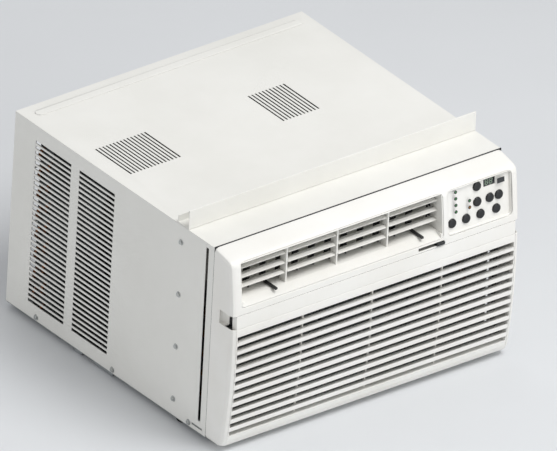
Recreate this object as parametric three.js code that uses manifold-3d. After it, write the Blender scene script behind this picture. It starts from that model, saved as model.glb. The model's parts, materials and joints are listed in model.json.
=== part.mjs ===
// A window air conditioner, as the pieces that it is assembled from.
// Millimetres, +Z up. +X is to the right of someone facing the front, and the front faces -Y.
// The origin is on the surface that the feet stand on, under the middle of the whole object.

import * as THREE from "three";
import { mergeVertices } from "three/addons/utils/BufferGeometryUtils.js";
import Module from "manifold-3d";

const wasm = await Module();
wasm.setup();

// ---------------------------------------------------------------- driving dimensions

const cabinetWidth = 600;
const cabinetDepth = 540;
const cabinetHeight = 365;
const panelDepth = 60; // how far the front panel stands out of the cabinet
const footHeight = 8;
const sheet = 1.5; // steel of the cabinet, base pan and bulkhead
const wall = 2.5; // moulded walls
const fitGap = 0.4; // between pieces that touch
const looseGap = 2; // between pieces that only stand near each other

// front panel
const faceSag = 15; // how much the face curves back at its top and bottom edges
const topSlopeRun = 30;
const topSlopeDrop = 6;
const edgeRound = 8; // upright corner edges
const openingRound = 8;
const openingTopDrop = 13; // from the cabinet top to the air outlet and the controls
const openingHeight = 83;
const outletSideInset = 18; // from the left side
const outletWidth = 424;
const podGapToOutlet = 9;
const podWidth = 135;
const podRecess = 6;

// intake grille
const grilleSideInset = 8;
const sillHeight = 11.6; // strip between the air outlet and the grille
const grilleBottomRise = 13; // above the cabinet bottom
const grilleSkin = 3;
const grilleDepth = 12;
const bandHeight = 25;
const fieldTopBorder = 14.5;
const fieldBottomBorder = 11;
const fieldSideBorder = 2.5;
const slatCount = 11;
const slatFrontHeight = 7.6;
const slatBackHeight = 3;
const notchLength = 36;

// air outlet
const ribCount = 3;
const ribThickness = 3;
const shelfRise = 10; // shelf above the lower edge of the outlet
const shelfSetback = 18; // shelf edge behind the face
const bladeCount = 3;
const bladePitch = 18.7;
const bladeChord = 16;
const bladeThickness = 2.4;
const bladeLinkArm = 12;
const vaneCount = 11;
const vaneEndGap = 39.6; // from the channel's ends to the outer vanes
const vaneChord = 16;
const vaneThickness = 1.8;
const vaneLinkArm = 8;
const pinRadius = 1.5;
const pinClearance = 0.6;
const pinSides = 6;
const leftGroupCount = 5;
const leverVanes = [1, 10]; // the vanes that carry a finger lever
const leverReach = 42;

// controls
const buttonRadius = 8;
const buttonStand = 3;
const buttonGap = 0.4;
const buttonSides = 12;
const buttonEdgeGap = 4; // from the top edge of the controls
const closePairGap = 3;
const buttonPlaces = {
  timer_button: [-1.5, openingHeight / 2 - buttonEdgeGap - buttonRadius],
  mode_button: [-1.5, 1.5],
  temperature_up_button: [24.5, 1.5],
  sleep_button: [24.5 + 2 * buttonRadius + closePairGap, 1.5],
  power_button: [-55, -22],
  fan_speed_button: [-25.5, -22],
  energy_saver_button: [4.5, -22],
  temperature_down_button: [37.5, -22],
};
const windowWidth = 24;
const windowHeight = 15;
const windowPlace = [24.5, 31];

// vents in the cabinet
const sideVentWidth = 96;
const sideVentTopDrop = 28;
const sideVentPitch = 9.706;
const sideVentRows = 32;
const sideVentSlot = 6;
const sideVentBacks = [57.5, 175.5]; // from the back of the cabinet
const topVentPitch = 7.3;
const topVentSlot = 3.4;
const topVentLength = 98; // front to back
const topVentBack = 172.4;
const topVents = [
  [32.5, 15], // from the left side, and how many slots
  [352, 11],
];
const beadWidth = 16;
const beadLength = 556;
const beadHeight = 1.6;
const beadFromBack = 27;
const sideSlotWidth = 7;
const sideSlotFromFront = 18;

// window sash rail on the top
const railHeight = 36;
const railFromFront = 70;
const railFoot = 30;
const railUpstand = 14;
const railHem = 5;

// air mover
const shaftZ = 172;
const shaftRadius = 6;
const motorRadius = 60;
const motorLength = 84;
const blowerRadius = 88;
const blowerLength = 76;
const blowerBlades = 16;
const fanRadius = 140;
const fanBlades = 5;
const scrollClearance = 16; // around the blower wheel where the scroll is narrowest
const scrollGrowth = 22;

// refrigerant circuit
const coilDepth = 40;
const compressorRadius = 74;
const compressorHeight = 215;
const compressorSideGap = 36; // from the right side
const accumulatorRadius = 19;

// ---------------------------------------------------------------- places worked out from them

const xSide = cabinetWidth / 2;
const yBack = (cabinetDepth + panelDepth) / 2;
const yFront = yBack - cabinetDepth; // plane where the front panel meets the cabinet
const zBottom = footHeight;
const zTop = zBottom + cabinetHeight;
const zFloor = zBottom + sheet; // top of the base pan's floor
const innerX = xSide - sheet - fitGap;
const faceMidZ = zBottom + cabinetHeight / 2;
const faceRadius = ((cabinetHeight / 2) ** 2 + faceSag ** 2) / (2 * faceSag);

const outletX0 = -xSide + outletSideInset;
const outletX1 = outletX0 + outletWidth;
const outletMidX = (outletX0 + outletX1) / 2;
const openingZ1 = zTop - openingTopDrop;
const openingZ0 = openingZ1 - openingHeight;
const podX0 = outletX1 + podGapToOutlet;
const podX1 = podX0 + podWidth;
const podMidX = (podX0 + podX1) / 2;
const podMidZ = (openingZ0 + openingZ1) / 2;

const grilleX = xSide - grilleSideInset;
const grilleZ1 = openingZ0 - sillHeight;
const grilleZ0 = zBottom + grilleBottomRise;
const fieldZ1 = grilleZ1 - bandHeight - fieldTopBorder;
const fieldZ0 = grilleZ0 + fieldBottomBorder;
const slatPitch = (fieldZ1 - fieldZ0 + slatFrontHeight) / (slatCount + 1);

const shelfZ = openingZ0 + shelfRise;
const channelX0 = outletX0 + fitGap + 2;
const channelX1 = outletX1 - fitGap - 2;
const channelZ1 = openingZ1 - fitGap - 2;
const vanePitch = (channelX1 - channelX0 - 2 * vaneEndGap) / (vaneCount - 1);
const ribY0 = faceY(openingZ0) + shelfSetback;
const bladeY = ribY0 + bladeChord / 2 + 0.5;
const vaneFrontY = bladeY + bladeChord / 2 + looseGap;
const vanePivotY = vaneFrontY + vaneLinkArm + looseGap;
const outletBackY = yFront - 4;

const shaftX = outletMidX;
const scrollRadius = blowerRadius + scrollClearance;
const bulkheadY = yBack - 350;
const motorY0 = bulkheadY + 30;
const fanY = bulkheadY + 200;
const shroudY = fanY + 48;
const condenserY = shroudY + looseGap + sheet + 4;
const evaporatorY = yFront + 8;
const evaporatorX1 = xSide - 60;
const evaporatorZ0 = zFloor + 20;
const evaporatorZ1 = openingZ0 - 24;
const scrollBackY = bulkheadY - 1.5;
const scrollFrontY = scrollBackY - blowerLength - 26;
const compressorX = xSide - compressorSideGap - compressorRadius;
const compressorY = bulkheadY + 95;
const accumulatorX = compressorX + (compressorRadius + accumulatorRadius + 8) * Math.cos(0.72);
const accumulatorY = compressorY - (compressorRadius + accumulatorRadius + 8) * Math.sin(0.72);
const condenserX1 = xSide - 40;

// The face is an arc seen from the side: its y at a height.
function faceY(z) {
  return yFront - panelDepth + faceRadius - Math.sqrt(faceRadius ** 2 - (z - faceMidZ) ** 2);
}

// ---------------------------------------------------------------- materials

function finish(color, roughness, metalness = 0) {
  return { color, roughness, metalness };
}

const paintedSteel = finish(0xf1f1ee, 0.45, 0.1);
const whitePlastic = finish(0xf6f6f3, 0.4);
const darkPlastic = finish(0x26282a, 0.5);
const zincSteel = finish(0xb9bcbd, 0.4, 0.8);
const copper = finish(0xb87a4b, 0.35, 0.9);
const aluminiumFins = finish(0xc9cccf, 0.4, 0.8);
const blackSteel = finish(0x1d1e20, 0.5, 0.3);
const foam = finish(0xe9e9e4, 0.9);
const clearPlastic = finish(0x2a3338, 0.1);
const boardGreen = finish(0x2f6b45, 0.6);
const rubber = finish(0x2b2b2b, 0.9);
const filterNet = finish(0x8c9499, 0.8);

// ---------------------------------------------------------------- solids

function solid(geometry) {
  const bare = geometry.index ? geometry.toNonIndexed() : geometry.clone();
  bare.deleteAttribute("normal");
  bare.deleteAttribute("uv");
  const merged = mergeVertices(bare, 1e-4);
  const triVerts = new Uint32Array(merged.index.array);
  const vertProperties = merged.attributes.position.array;
  const made = new wasm.Manifold(new wasm.Mesh({ numProp: 3, vertProperties, triVerts }));
  if (made.volume() > 0) return made;
  for (let i = 0; i < triVerts.length; i += 3) {
    [triVerts[i + 1], triVerts[i + 2]] = [triVerts[i + 2], triVerts[i + 1]];
  }
  return new wasm.Manifold(new wasm.Mesh({ numProp: 3, vertProperties, triVerts }));
}

function geometryOf(manifold) {
  const mesh = manifold.getMesh();
  const positions = new Float32Array(mesh.numVert * 3);
  for (let i = 0; i < mesh.numVert; i++) {
    for (let k = 0; k < 3; k++) positions[3 * i + k] = mesh.vertProperties[mesh.numProp * i + k];
  }
  const geometry = new THREE.BufferGeometry();
  geometry.setAttribute("position", new THREE.BufferAttribute(positions, 3));
  geometry.setIndex(new THREE.BufferAttribute(new Uint32Array(mesh.triVerts), 1));
  geometry.computeVertexNormals();
  return geometry;
}

function join(...solids) {
  return solids.reduce((whole, piece) => whole.add(piece));
}

function cut(body, ...tools) {
  return tools.reduce((left, tool) => left.subtract(tool), body);
}

function box(x0, x1, y0, y1, z0, z1) {
  const geometry = new THREE.BoxGeometry(x1 - x0, y1 - y0, z1 - z0);
  geometry.translate((x0 + x1) / 2, (y0 + y1) / 2, (z0 + z1) / 2);
  return solid(geometry);
}

function shapeOf(outline, holes = []) {
  const shape = new THREE.Shape(outline.map(([a, b]) => new THREE.Vector2(a, b)));
  shape.holes = holes.map((hole) => new THREE.Path(hole.map(([a, b]) => new THREE.Vector2(a, b))));
  return shape;
}

function extrude(outline, depth, holes) {
  return new THREE.ExtrudeGeometry(shapeOf(outline, holes), { depth, bevelEnabled: false });
}

// An outline of [y, z] pairs, swept from x0 to x1.
function prismX(outline, x0, x1) {
  const geometry = extrude(outline, x1 - x0);
  const turn = new THREE.Matrix4().set(0, 0, 1, x0, 1, 0, 0, 0, 0, 1, 0, 0, 0, 0, 0, 1);
  return solid(geometry.applyMatrix4(turn));
}

// An outline of [x, z] pairs, swept from y0 to y1.
function prismY(outline, y0, y1, holes) {
  const geometry = extrude(outline, y1 - y0, holes);
  return solid(geometry.rotateX(Math.PI / 2).translate(0, y1, 0));
}

// An outline of [x, y] pairs, swept from z0 to z1.
function prismZ(outline, z0, z1) {
  return solid(extrude(outline, z1 - z0).translate(0, 0, z0));
}

// Points around a circle, or around one stretch of it.
function arc(x, y, radius, from, to, steps) {
  return Array.from({ length: steps + 1 }, (_, i) => {
    const angle = from + ((to - from) * i) / steps;
    return [x + radius * Math.cos(angle), y + radius * Math.sin(angle)];
  });
}

function circle(x, y, radius, sides) {
  return arc(x, y, radius, 0, 2 * Math.PI, sides).slice(0, sides);
}

function roundedRect(x0, x1, y0, y1, radius, steps = 3) {
  const quarter = Math.PI / 2;
  return [
    ...arc(x1 - radius, y0 + radius, radius, -quarter, 0, steps),
    ...arc(x1 - radius, y1 - radius, radius, 0, quarter, steps),
    ...arc(x0 + radius, y1 - radius, radius, quarter, 2 * quarter, steps),
    ...arc(x0 + radius, y0 + radius, radius, 2 * quarter, 3 * quarter, steps),
  ];
}

function cylinder(axis, radius, from, to, a, b, sides = 16) {
  const geometry = new THREE.CylinderGeometry(radius, radius, to - from, sides);
  const middle = (from + to) / 2;
  if (axis === "x") return solid(geometry.rotateZ(Math.PI / 2).translate(middle, a, b));
  if (axis === "y") return solid(geometry.translate(a, middle, b));
  return solid(geometry.rotateX(Math.PI / 2).translate(a, b, middle));
}

// A profile of [radius, height] pairs, turned about an axis through (a, b).
function turned(axis, profile, a, b, sides = 24) {
  const points = profile.map(([r, h]) => new THREE.Vector2(r, h));
  const geometry = new THREE.LatheGeometry(points, sides);
  if (axis === "x") return solid(geometry.rotateZ(-Math.PI / 2).translate(0, a, b));
  if (axis === "y") return solid(geometry.translate(a, 0, b));
  return solid(geometry.rotateX(Math.PI / 2).translate(a, b, 0));
}

function tube(points, radius, sides, steps) {
  const path = new THREE.CatmullRomCurve3(points.map((p) => new THREE.Vector3(...p)));
  const options = { steps, extrudePath: path, bevelEnabled: false };
  return solid(new THREE.ExtrudeGeometry(shapeOf(circle(0, 0, radius, sides)), options));
}

const airConditioner = new THREE.Group();

function addPart(name, shape, look, parent = airConditioner) {
  const geometry = shape.isBufferGeometry ? shape : geometryOf(shape);
  const mesh = new THREE.Mesh(geometry, new THREE.MeshStandardMaterial(look));
  mesh.name = name;
  parent.add(mesh);
  return mesh;
}

// ---------------------------------------------------------------- cabinet

function cabinetShell() {
  const low = zBottom + 3;
  const fold = sheet * 0.6; // outside of the folded top edges
  const outline = [
    [-xSide, low],
    [-xSide + sheet, low],
    [-xSide + sheet, zTop - sheet],
    [xSide - sheet, zTop - sheet],
    [xSide - sheet, low],
    [xSide, low],
    [xSide, zTop - fold],
    [xSide - fold, zTop],
    [-xSide + fold, zTop],
    [-xSide, zTop - fold],
  ];
  let shell = prismY(outline, yFront, yBack);
  const bead = roundedRect(
    -beadLength / 2,
    beadLength / 2,
    yBack - beadFromBack - beadWidth / 2,
    yBack - beadFromBack + beadWidth / 2,
    beadWidth / 2 - 0.01,
  );
  shell = shell.add(prismZ(bead, zTop - sheet / 2, zTop + beadHeight));
  const slots = [];
  for (const back of sideVentBacks) {
    const y1 = yBack - back;
    for (let row = 0; row < sideVentRows; row++) {
      const z = zTop - sideVentTopDrop - row * sideVentPitch;
      slots.push(box(-xSide - 1, xSide + 1, y1 - sideVentWidth, y1, z - sideVentSlot, z));
    }
  }
  for (const [left, count] of topVents) {
    for (let i = 0; i < count; i++) {
      const x = -xSide + left + i * topVentPitch;
      const y = yBack - topVentBack;
      slots.push(box(x, x + topVentSlot, y - topVentLength, y, zTop - 2 * sheet, zTop + 1));
    }
  }
  const slotY = yFront + sideSlotFromFront;
  const slotFront = slotY - sideSlotWidth / 2;
  slots.push(box(-xSide - 1, xSide + 1, slotFront, slotFront + sideSlotWidth, zBottom + 25, zTop - 9));
  slots.push(box(-xSide - 1, xSide + 1, yFront + 9, yFront + 37, zBottom + 10, zBottom + 14));
  return cut(shell, ...slots);
}

function basePan() {
  const x = innerX;
  const y0 = yFront + fitGap;
  const y1 = yBack - fitGap;
  const rim = 26;
  const tray = cut(
    box(-x, x, y0, y1, zBottom, zBottom + rim),
    box(-x + sheet, x - sheet, y0 + sheet, y1 - sheet, zFloor, zBottom + rim + 1),
  );
  const lugs = [];
  for (const [from, length] of [
    [190, 22],
    [258, 54],
  ]) {
    const y = yBack - from;
    for (const side of [-1, 1]) {
      const middle = side * (x - 12);
      const outline = roundedRect(y - length / 2, y + length / 2, 1, zBottom + 1, 3);
      lugs.push(prismX(outline, middle - 10, middle + 10));
    }
  }
  return join(tray, ...lugs);
}

function foot(x, y) {
  const profile = [
    [0, 0],
    [13, 0],
    [15, 2],
    [15, footHeight - fitGap],
    [0, footHeight - fitGap],
  ];
  return turned("z", profile, x, y, 16);
}

function rearGuard() {
  const x = innerX;
  const z0 = zBottom + 27;
  const z1 = zTop - sheet - fitGap;
  const y1 = yBack - 3;
  const frame = cut(
    box(-x, x, y1 - 6, y1, z0, z1),
    box(-x + 12, x - 12, y1 - 7, y1 + 1, z0 + 12, z1 - 12),
  );
  const bars = [];
  const uprights = 12;
  for (let i = 1; i < uprights; i++) {
    const at = -x + 12 + ((2 * x - 24) * i) / uprights;
    bars.push(box(at - 1.5, at + 1.5, y1 - 3, y1, z0 + 6, z1 - 6));
  }
  const levels = 3;
  for (let i = 1; i < levels; i++) {
    const at = z0 + 12 + ((z1 - z0 - 24) * i) / levels;
    bars.push(box(-x + 6, x - 6, y1 - 5, y1 - 2, at - 1.5, at + 1.5));
  }
  return join(frame, ...bars);
}

function topRail() {
  const z0 = zTop + fitGap;
  const front = yFront + railFromFront;
  const outline = [
    [front, z0],
    [front + railFoot, z0],
    [front + railFoot, z0 + railUpstand],
    [front + railFoot - sheet, z0 + railUpstand],
    [front + railFoot - sheet, z0 + sheet],
    [front + sheet, z0 + sheet],
    [front + sheet, z0 + railHeight - fitGap - railHem],
    [front + 2 * sheet, z0 + railHeight - fitGap - railHem],
    [front + 2 * sheet, z0 + railHeight - fitGap],
    [front, z0 + railHeight - fitGap],
  ];
  return prismX(outline, -xSide, xSide);
}

// ---------------------------------------------------------------- front panel

// The panel seen from the side, moved in by a wall.
function panelOutline(inset, backY) {
  const points = [];
  const zHigh = zTop - inset;
  const zLow = zBottom + inset;
  points.push([backY, zLow]);
  points.push([backY, zHigh]);
  points.push([yFront, zHigh]);
  points.push([yFront - topSlopeRun, zHigh - topSlopeDrop]);
  const arcTop = zTop - 20;
  const arcBottom = zBottom + 14;
  const corner = new THREE.QuadraticBezierCurve(
    new THREE.Vector2(yFront - topSlopeRun, zHigh - topSlopeDrop),
    new THREE.Vector2(faceY(zTop - 9) + inset, zHigh - 9),
    new THREE.Vector2(faceY(arcTop) + inset, arcTop),
  );
  for (const t of [0.3, 0.5, 0.7]) {
    const p = corner.getPoint(t);
    points.push([p.x, p.y]);
  }
  const steps = 10;
  for (let i = 0; i <= steps; i++) {
    const z = arcTop + ((arcBottom - arcTop) * i) / steps;
    points.push([faceY(z) + inset, z]);
  }
  points.push([faceY(zBottom + 4) + inset + 3, zBottom + 4 + inset]);
  points.push([yFront - panelDepth + faceSag + 12 + inset, zLow]);
  return points;
}

// A panel-shaped block with rounded upright edges, reaching back past the cabinet's front plane.
function panelBlock(inset) {
  const round = edgeRound - inset;
  const halfWidth = xSide - inset;
  const overrun = 20;
  const shape = shapeOf(panelOutline(inset, yFront + overrun));
  const options = {
    depth: 2 * (halfWidth - round),
    bevelEnabled: true,
    bevelThickness: round,
    bevelSize: round,
    bevelOffset: -round,
    bevelSegments: 2,
  };
  const geometry = new THREE.ExtrudeGeometry(shape, options);
  const turn = new THREE.Matrix4().set(0, 0, 1, round - halfWidth, 1, 0, 0, 0, 0, 1, 0, 0, 0, 0, 0, 1);
  return solid(geometry.applyMatrix4(turn));
}

const podTilt = Math.atan2(faceY(openingZ1) - faceY(openingZ0), openingHeight);
const podFrame = new THREE.Matrix4().multiplyMatrices(
  new THREE.Matrix4().makeTranslation(podMidX, (faceY(openingZ0) + faceY(openingZ1)) / 2, podMidZ),
  new THREE.Matrix4().makeRotationX(-podTilt),
);

// The outline of the controls, moved in by a gap, in the plane of the tilted pod.
function podOutline(gap) {
  const x = podWidth / 2 - gap;
  const z = openingHeight / 2 - gap;
  return roundedRect(-x, x, -z, z, openingRound - gap);
}

function frontPanel() {
  const keep = box(-xSide - 5, xSide + 5, yFront - 100, yFront - fitGap, 0, zTop + 5);
  let panel = cut(panelBlock(0), panelBlock(wall)).intersect(keep);
  const outlet = roundedRect(outletX0, outletX1, openingZ0, openingZ1, openingRound);
  const grille = [
    [-grilleX, grilleZ0],
    [grilleX, grilleZ0],
    [grilleX, grilleZ1],
    [-grilleX, grilleZ1],
  ];
  const front = yFront - panelDepth - 5;
  const cornerY = faceY(grilleZ1);
  const notches = [-1, 1].map((side) =>
    box(
      Math.min(side * (xSide + 1), side * (grilleX - 1)),
      Math.max(side * (xSide + 1), side * (grilleX - 1)),
      front,
      cornerY + notchLength,
      grilleZ1 - bandHeight,
      grilleZ1,
    ),
  );
  panel = cut(
    panel,
    prismY(outlet, front, yFront - 25),
    prismY(grille, front, yFront - 20),
    solid(geometryOf(prismY(podOutline(0), -20, 20)).applyMatrix4(podFrame)),
    ventSlot(),
    cylinder("x", glandRadius + fitGap, xSide - 6, xSide + 1, glandY, glandZ, 16),
    ...notches,
  );
  return panel;
}

const glandRadius = 9;
const glandY = yFront - 14;
const glandZ = zBottom + 24;

function cordGland() {
  const outside = xSide - 0.3;
  const inside = xSide - wall - fitGap;
  const profile = [
    [4.5, outside],
    [4.5, inside - 12],
    [glandRadius - 1, inside - 12],
    [glandRadius + 3, inside - 3],
    [glandRadius + 3, inside],
    [glandRadius, inside],
    [glandRadius, outside],
    [4.5, outside],
  ];
  return turned("x", profile, glandY, glandZ, 16);
}

// ---------------------------------------------------------------- intake grille and filter

function arcBand(z0, z1, near, far, steps) {
  const points = [];
  for (let i = 0; i <= steps; i++) {
    const z = z0 + ((z1 - z0) * i) / steps;
    points.push([faceY(z) + near, z]);
  }
  for (let i = steps; i >= 0; i--) {
    const z = z0 + ((z1 - z0) * i) / steps;
    points.push([faceY(z) + far, z]);
  }
  return points;
}

function intakeGrille() {
  const x = grilleX - fitGap;
  const z0 = grilleZ0 + fitGap;
  const z1 = grilleZ1 - fitGap;
  const fieldX = x - fieldSideBorder;
  const skin = prismX(arcBand(z0, z1, 0, grilleSkin, 8), -x, x);
  const field = box(-fieldX, fieldX, yFront - panelDepth - 5, yFront, fieldZ0, fieldZ1);
  const pieces = [skin.subtract(field)];
  for (const side of [-1, 1]) {
    const inner = side * fieldX;
    const outer = side * x;
    const edge = arcBand(z0, z1, 1, grilleDepth, 4);
    pieces.push(prismX(edge, Math.min(inner, outer), Math.max(inner, outer)));
  }
  for (const [low, high] of [
    [z1 - wall, z1],
    [z0, z0 + wall],
    [fieldZ1, fieldZ1 + wall],
    [fieldZ0 - wall, fieldZ0],
  ]) {
    pieces.push(prismX(arcBand(low, high, 1, grilleDepth, 1), -x + 1, x - 1));
  }
  for (let i = 1; i <= slatCount; i++) {
    const z = fieldZ1 - i * slatPitch + slatFrontHeight / 2;
    const y = faceY(z);
    const outline = [
      [y, z - slatFrontHeight / 2],
      [y + grilleDepth, z - slatBackHeight / 2 - 1],
      [y + grilleDepth, z + slatBackHeight / 2 - 1],
      [y, z + slatFrontHeight / 2],
    ];
    pieces.push(prismX(outline, -x + 1, x - 1));
  }
  for (const at of [-0.5, 0, 0.5]) {
    const stiffener = arcBand(fieldZ0 - 1, fieldZ1 + 1, grilleDepth - 4, grilleDepth, 2);
    pieces.push(prismX(stiffener, at * x - 1.2, at * x + 1.2));
  }
  const grooveZ = grilleZ1 - bandHeight;
  const grooveFront = yFront - panelDepth - 5;
  const groove = box(-x - 1, x + 1, grooveFront, faceY(grooveZ) + 1, grooveZ - 0.6, grooveZ + 0.6);
  return join(...pieces).subtract(groove);
}

const filterY = faceY(grilleZ0) + grilleDepth + looseGap + 1;

function airFilter() {
  const x = grilleX - 14;
  const z0 = grilleZ0 + 8;
  const z1 = fieldZ1 + 8;
  const thick = 4;
  const border = 9;
  const frame = cut(
    box(-x, x, filterY, filterY + thick, z0, z1),
    box(-x + border, x - border, filterY - 1, filterY + thick + 1, z0 + border, z1 - border),
  );
  const net = box(-x + 2, x - 2, filterY + 1.6, filterY + 2.4, z0 + 2, z1 - 2);
  const bars = [];
  for (const at of [-0.6, -0.2, 0.2, 0.6]) {
    bars.push(box(at * x - 1.5, at * x + 1.5, filterY + 0.6, filterY + 3.4, z0 + 2, z1 - 2));
  }
  const middle = (z0 + z1) / 2;
  bars.push(box(-x + 2, x - 2, filterY + 0.6, filterY + 3.4, middle - 1.5, middle + 1.5));
  return join(frame, net, ...bars);
}

// ---------------------------------------------------------------- air outlet

const bladeZs = Array.from({ length: bladeCount }, (_, i) => openingZ1 - 17 - i * bladePitch);
const ribPitch = outletWidth / (ribCount + 1);
const spread = (count, pitch) =>
  Array.from({ length: count }, (_, i) => outletMidX + (i - (count - 1) / 2) * pitch);
const ribXs = spread(ribCount, ribPitch);
const vaneXs = spread(vaneCount, vanePitch);
const pinHole = pinRadius + pinClearance;
const vaneZ0 = shelfZ + 1.2;
const vaneZ1 = channelZ1 - 1.2;

function outletFrame() {
  const x0 = outletX0 + fitGap;
  const x1 = outletX1 - fitGap;
  const z0 = openingZ0 + fitGap;
  const z1 = openingZ1 - fitGap;
  const front = yFront - panelDepth - 5;
  const outline = roundedRect(x0, x1, z0, z1, openingRound - fitGap);
  const frontCurve = arcBand(z0 - 5, z1 + 5, 1.2, 1.2, 4).slice(0, 5);
  const behindFace = [...frontCurve, [outletBackY, z1 + 5], [outletBackY, z0 - 5]];
  let frame = prismY(outline, front, outletBackY).intersect(prismX(behindFace, x0 - 1, x1 + 1));
  const channel = box(channelX0, channelX1, front, outletBackY + 1, shelfZ, channelZ1);
  const bezel = [
    [front, openingZ0 + 2.2],
    [faceY(openingZ0) + 1, openingZ0 + 2.2],
    [ribY0 - 1, shelfZ],
    [ribY0 - 1, shelfZ + 1],
    [front, shelfZ + 1],
  ];
  const underShelf = [
    [ribY0 + 6, openingZ0 - 1],
    [outletBackY + 1, openingZ0 - 1],
    [outletBackY + 1, shelfZ - 2.2],
    [ribY0 + 6, shelfZ - 2.2],
  ];
  frame = cut(
    frame,
    channel,
    prismX(bezel, channelX0 + 3, channelX1 - 3),
    prismX(underShelf, x0 - 1, x1 + 1),
  );
  for (const x of ribXs) {
    const ribX0 = x - ribThickness / 2;
    const rib = box(ribX0, ribX0 + ribThickness, ribY0, ribY0 + bladeChord, shelfZ - 1, channelZ1 + 1);
    frame = frame.add(rib);
  }
  const holes = bladeZs.map((z) => cylinder("x", pinHole, x0 - 1, x1 + 1, bladeY, z, pinSides));
  for (const x of vaneXs) {
    holes.push(cylinder("z", pinHole, shelfZ - 5, shelfZ + 1, x, vanePivotY, pinSides));
    holes.push(cylinder("z", pinHole, channelZ1 - 1, z1 + 1, x, vanePivotY, pinSides));
  }
  return cut(frame, ...holes);
}

// A blade that turns on its own pins, with a gap for each rib that its shaft runs through.
function louvreBlade(z) {
  const end = 1.2;
  const edge = bladeChord / 2;
  const shoulder = edge - 2;
  const half = bladeThickness / 2;
  const outline = [
    [bladeY - edge, z - half / 3],
    [bladeY + edge, z - half / 3],
    [bladeY + edge, z + half / 3],
    [bladeY + shoulder, z + half],
    [bladeY - shoulder, z + half],
    [bladeY - edge, z + half / 3],
  ];
  const blade = prismX(outline, channelX0 + end, channelX1 - end);
  const reach = 3;
  const gaps = ribXs.map((x) => {
    const side = ribThickness / 2 + looseGap;
    return box(x - side, x + side, bladeY - bladeChord, bladeY + bladeChord, z - 5, z + 5);
  });
  const shaftX0 = channelX0 + end - reach;
  const shaft = cylinder("x", pinRadius, shaftX0, channelX1 - end + reach, bladeY, z, pinSides);
  const crank = box(linkX - 1, linkX + 1, bladeY, bladeY + bladeLinkArm, z - 1, z + 1);
  return join(cut(blade, ...gaps), shaft, crank);
}

const linkX = channelX1 - 5;

// The upright bar behind the blades that makes them tilt together, with a slot for each crank.
function louvreLink() {
  const y0 = bladeY + bladeLinkArm - 2.5;
  const ends = 6;
  const low = bladeZs[bladeCount - 1] - ends;
  const high = bladeZs[0] + ends;
  const bar = box(linkX - 3.2, linkX + 3.2, y0, y0 + 3, low, high);
  return cut(bar, ...bladeZs.map((z) => box(linkX - 1.6, linkX + 1.6, y0 - 1, y0 + 4, z - 2.6, z + 2.6)));
}

// An upright vane on pins. Its link pin stands in front of the pivot and a lever can reach out of it.
function vane(x, hasLever) {
  const half = vaneThickness / 2;
  const plate = box(x - half, x + half, vaneFrontY, vanePivotY + vaneChord / 2 - 2, vaneZ0, vaneZ1);
  const notch = box(x - 5, x + 5, vaneFrontY - 1, vanePivotY - 3, linkZ0 - 1, linkZ1 + 1);
  const pins = cylinder("z", pinRadius, vaneZ0 - 2.6, vaneZ1 + 2.6, x, vanePivotY, pinSides);
  const linkPin = cylinder("z", 1, linkZ0 - 1.5, linkZ1 + 1.5, x, vanePivotY - vaneLinkArm, pinSides);
  let body = join(cut(plate, notch), pins, linkPin);
  if (hasLever) {
    const y0 = vanePivotY - leverReach;
    body = body.add(box(x - 2.4, x + 2.4, y0, vaneFrontY + 1, vaneZ0, vaneZ0 + 3.5));
  }
  return body;
}

const linkZ0 = shelfZ + 8;
const linkZ1 = linkZ0 + 3;

// The bar that ties a group of vanes together, with a slot for each link pin.
function vaneLink(xs) {
  const y = vanePivotY - vaneLinkArm;
  const bar = box(xs[0] - 6, xs[xs.length - 1] + 6, y - 3.6, y + 4, linkZ0, linkZ1);
  const slots = xs.map((x) => box(x - 1.4, x + 1.4, y - 1.5, y + 2.8, linkZ0 - 1, linkZ1 + 1));
  return cut(bar, ...slots);
}

// ---------------------------------------------------------------- fresh-air vent

const ventSlotX0 = outletX1 - 53;
const ventSlotX1 = outletX1 + 1;
const ventSlotZ = (openingZ0 + grilleZ1) / 2;
const ventSlotHeight = 6;
const ventTravel = 34;
const ventKnobWidth = 16;
const ventArm = 40;

function ventSlot() {
  const front = yFront - panelDepth - 5;
  const slotZ0 = ventSlotZ - ventSlotHeight / 2;
  return box(ventSlotX0, ventSlotX1, front, yFront - 40, slotZ0, slotZ0 + ventSlotHeight);
}

// Knob in the slot at its right-hand end, and the flat rod that runs back to the vent door.
function ventLever() {
  const x1 = ventSlotX1 - 1;
  const x0 = x1 - ventKnobWidth;
  const face = faceY(ventSlotZ);
  const half = ventSlotHeight / 2 - fitGap;
  const middle = (x0 + x1) / 2;
  const knob = box(x0, x1, face - 3, face + 6, ventSlotZ - half, ventSlotZ + half);
  const back = bulkheadY - ventArm + 6;
  const rod = box(middle - 4, middle + 4, face + 5, back, ventSlotZ - 1, ventSlotZ + 1);
  const foot = box(ventHingeX - 4, middle + 4, back - 8, back, ventSlotZ - 1, ventSlotZ + 1);
  return join(knob, rod, foot);
}

const ventDoorWidth = 50;
const ventHingeX = shaftX + scrollRadius + scrollGrowth + 28;
const ventDoorZ0 = 200;
const ventDoorZ1 = ventSlotZ - 8;

function ventDoor() {
  const y = bulkheadY - 4;
  const plate = box(ventHingeX, ventHingeX + ventDoorWidth, y - 2, y, ventDoorZ0, ventDoorZ1);
  const barrel = cylinder("z", 2.4, ventDoorZ0, ventDoorZ1 + 2, ventHingeX, y - 1, 10);
  const arm = box(ventHingeX - 3, ventHingeX + 3, y - ventArm, y, ventDoorZ1 - 1, ventDoorZ1 + 2);
  return join(plate, barrel, arm);
}

// ---------------------------------------------------------------- controls

const pod = new THREE.Group();
pod.applyMatrix4(podFrame);
airConditioner.add(pod);
const fasciaY = podRecess;
const fasciaThickness = 2.5;

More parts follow.
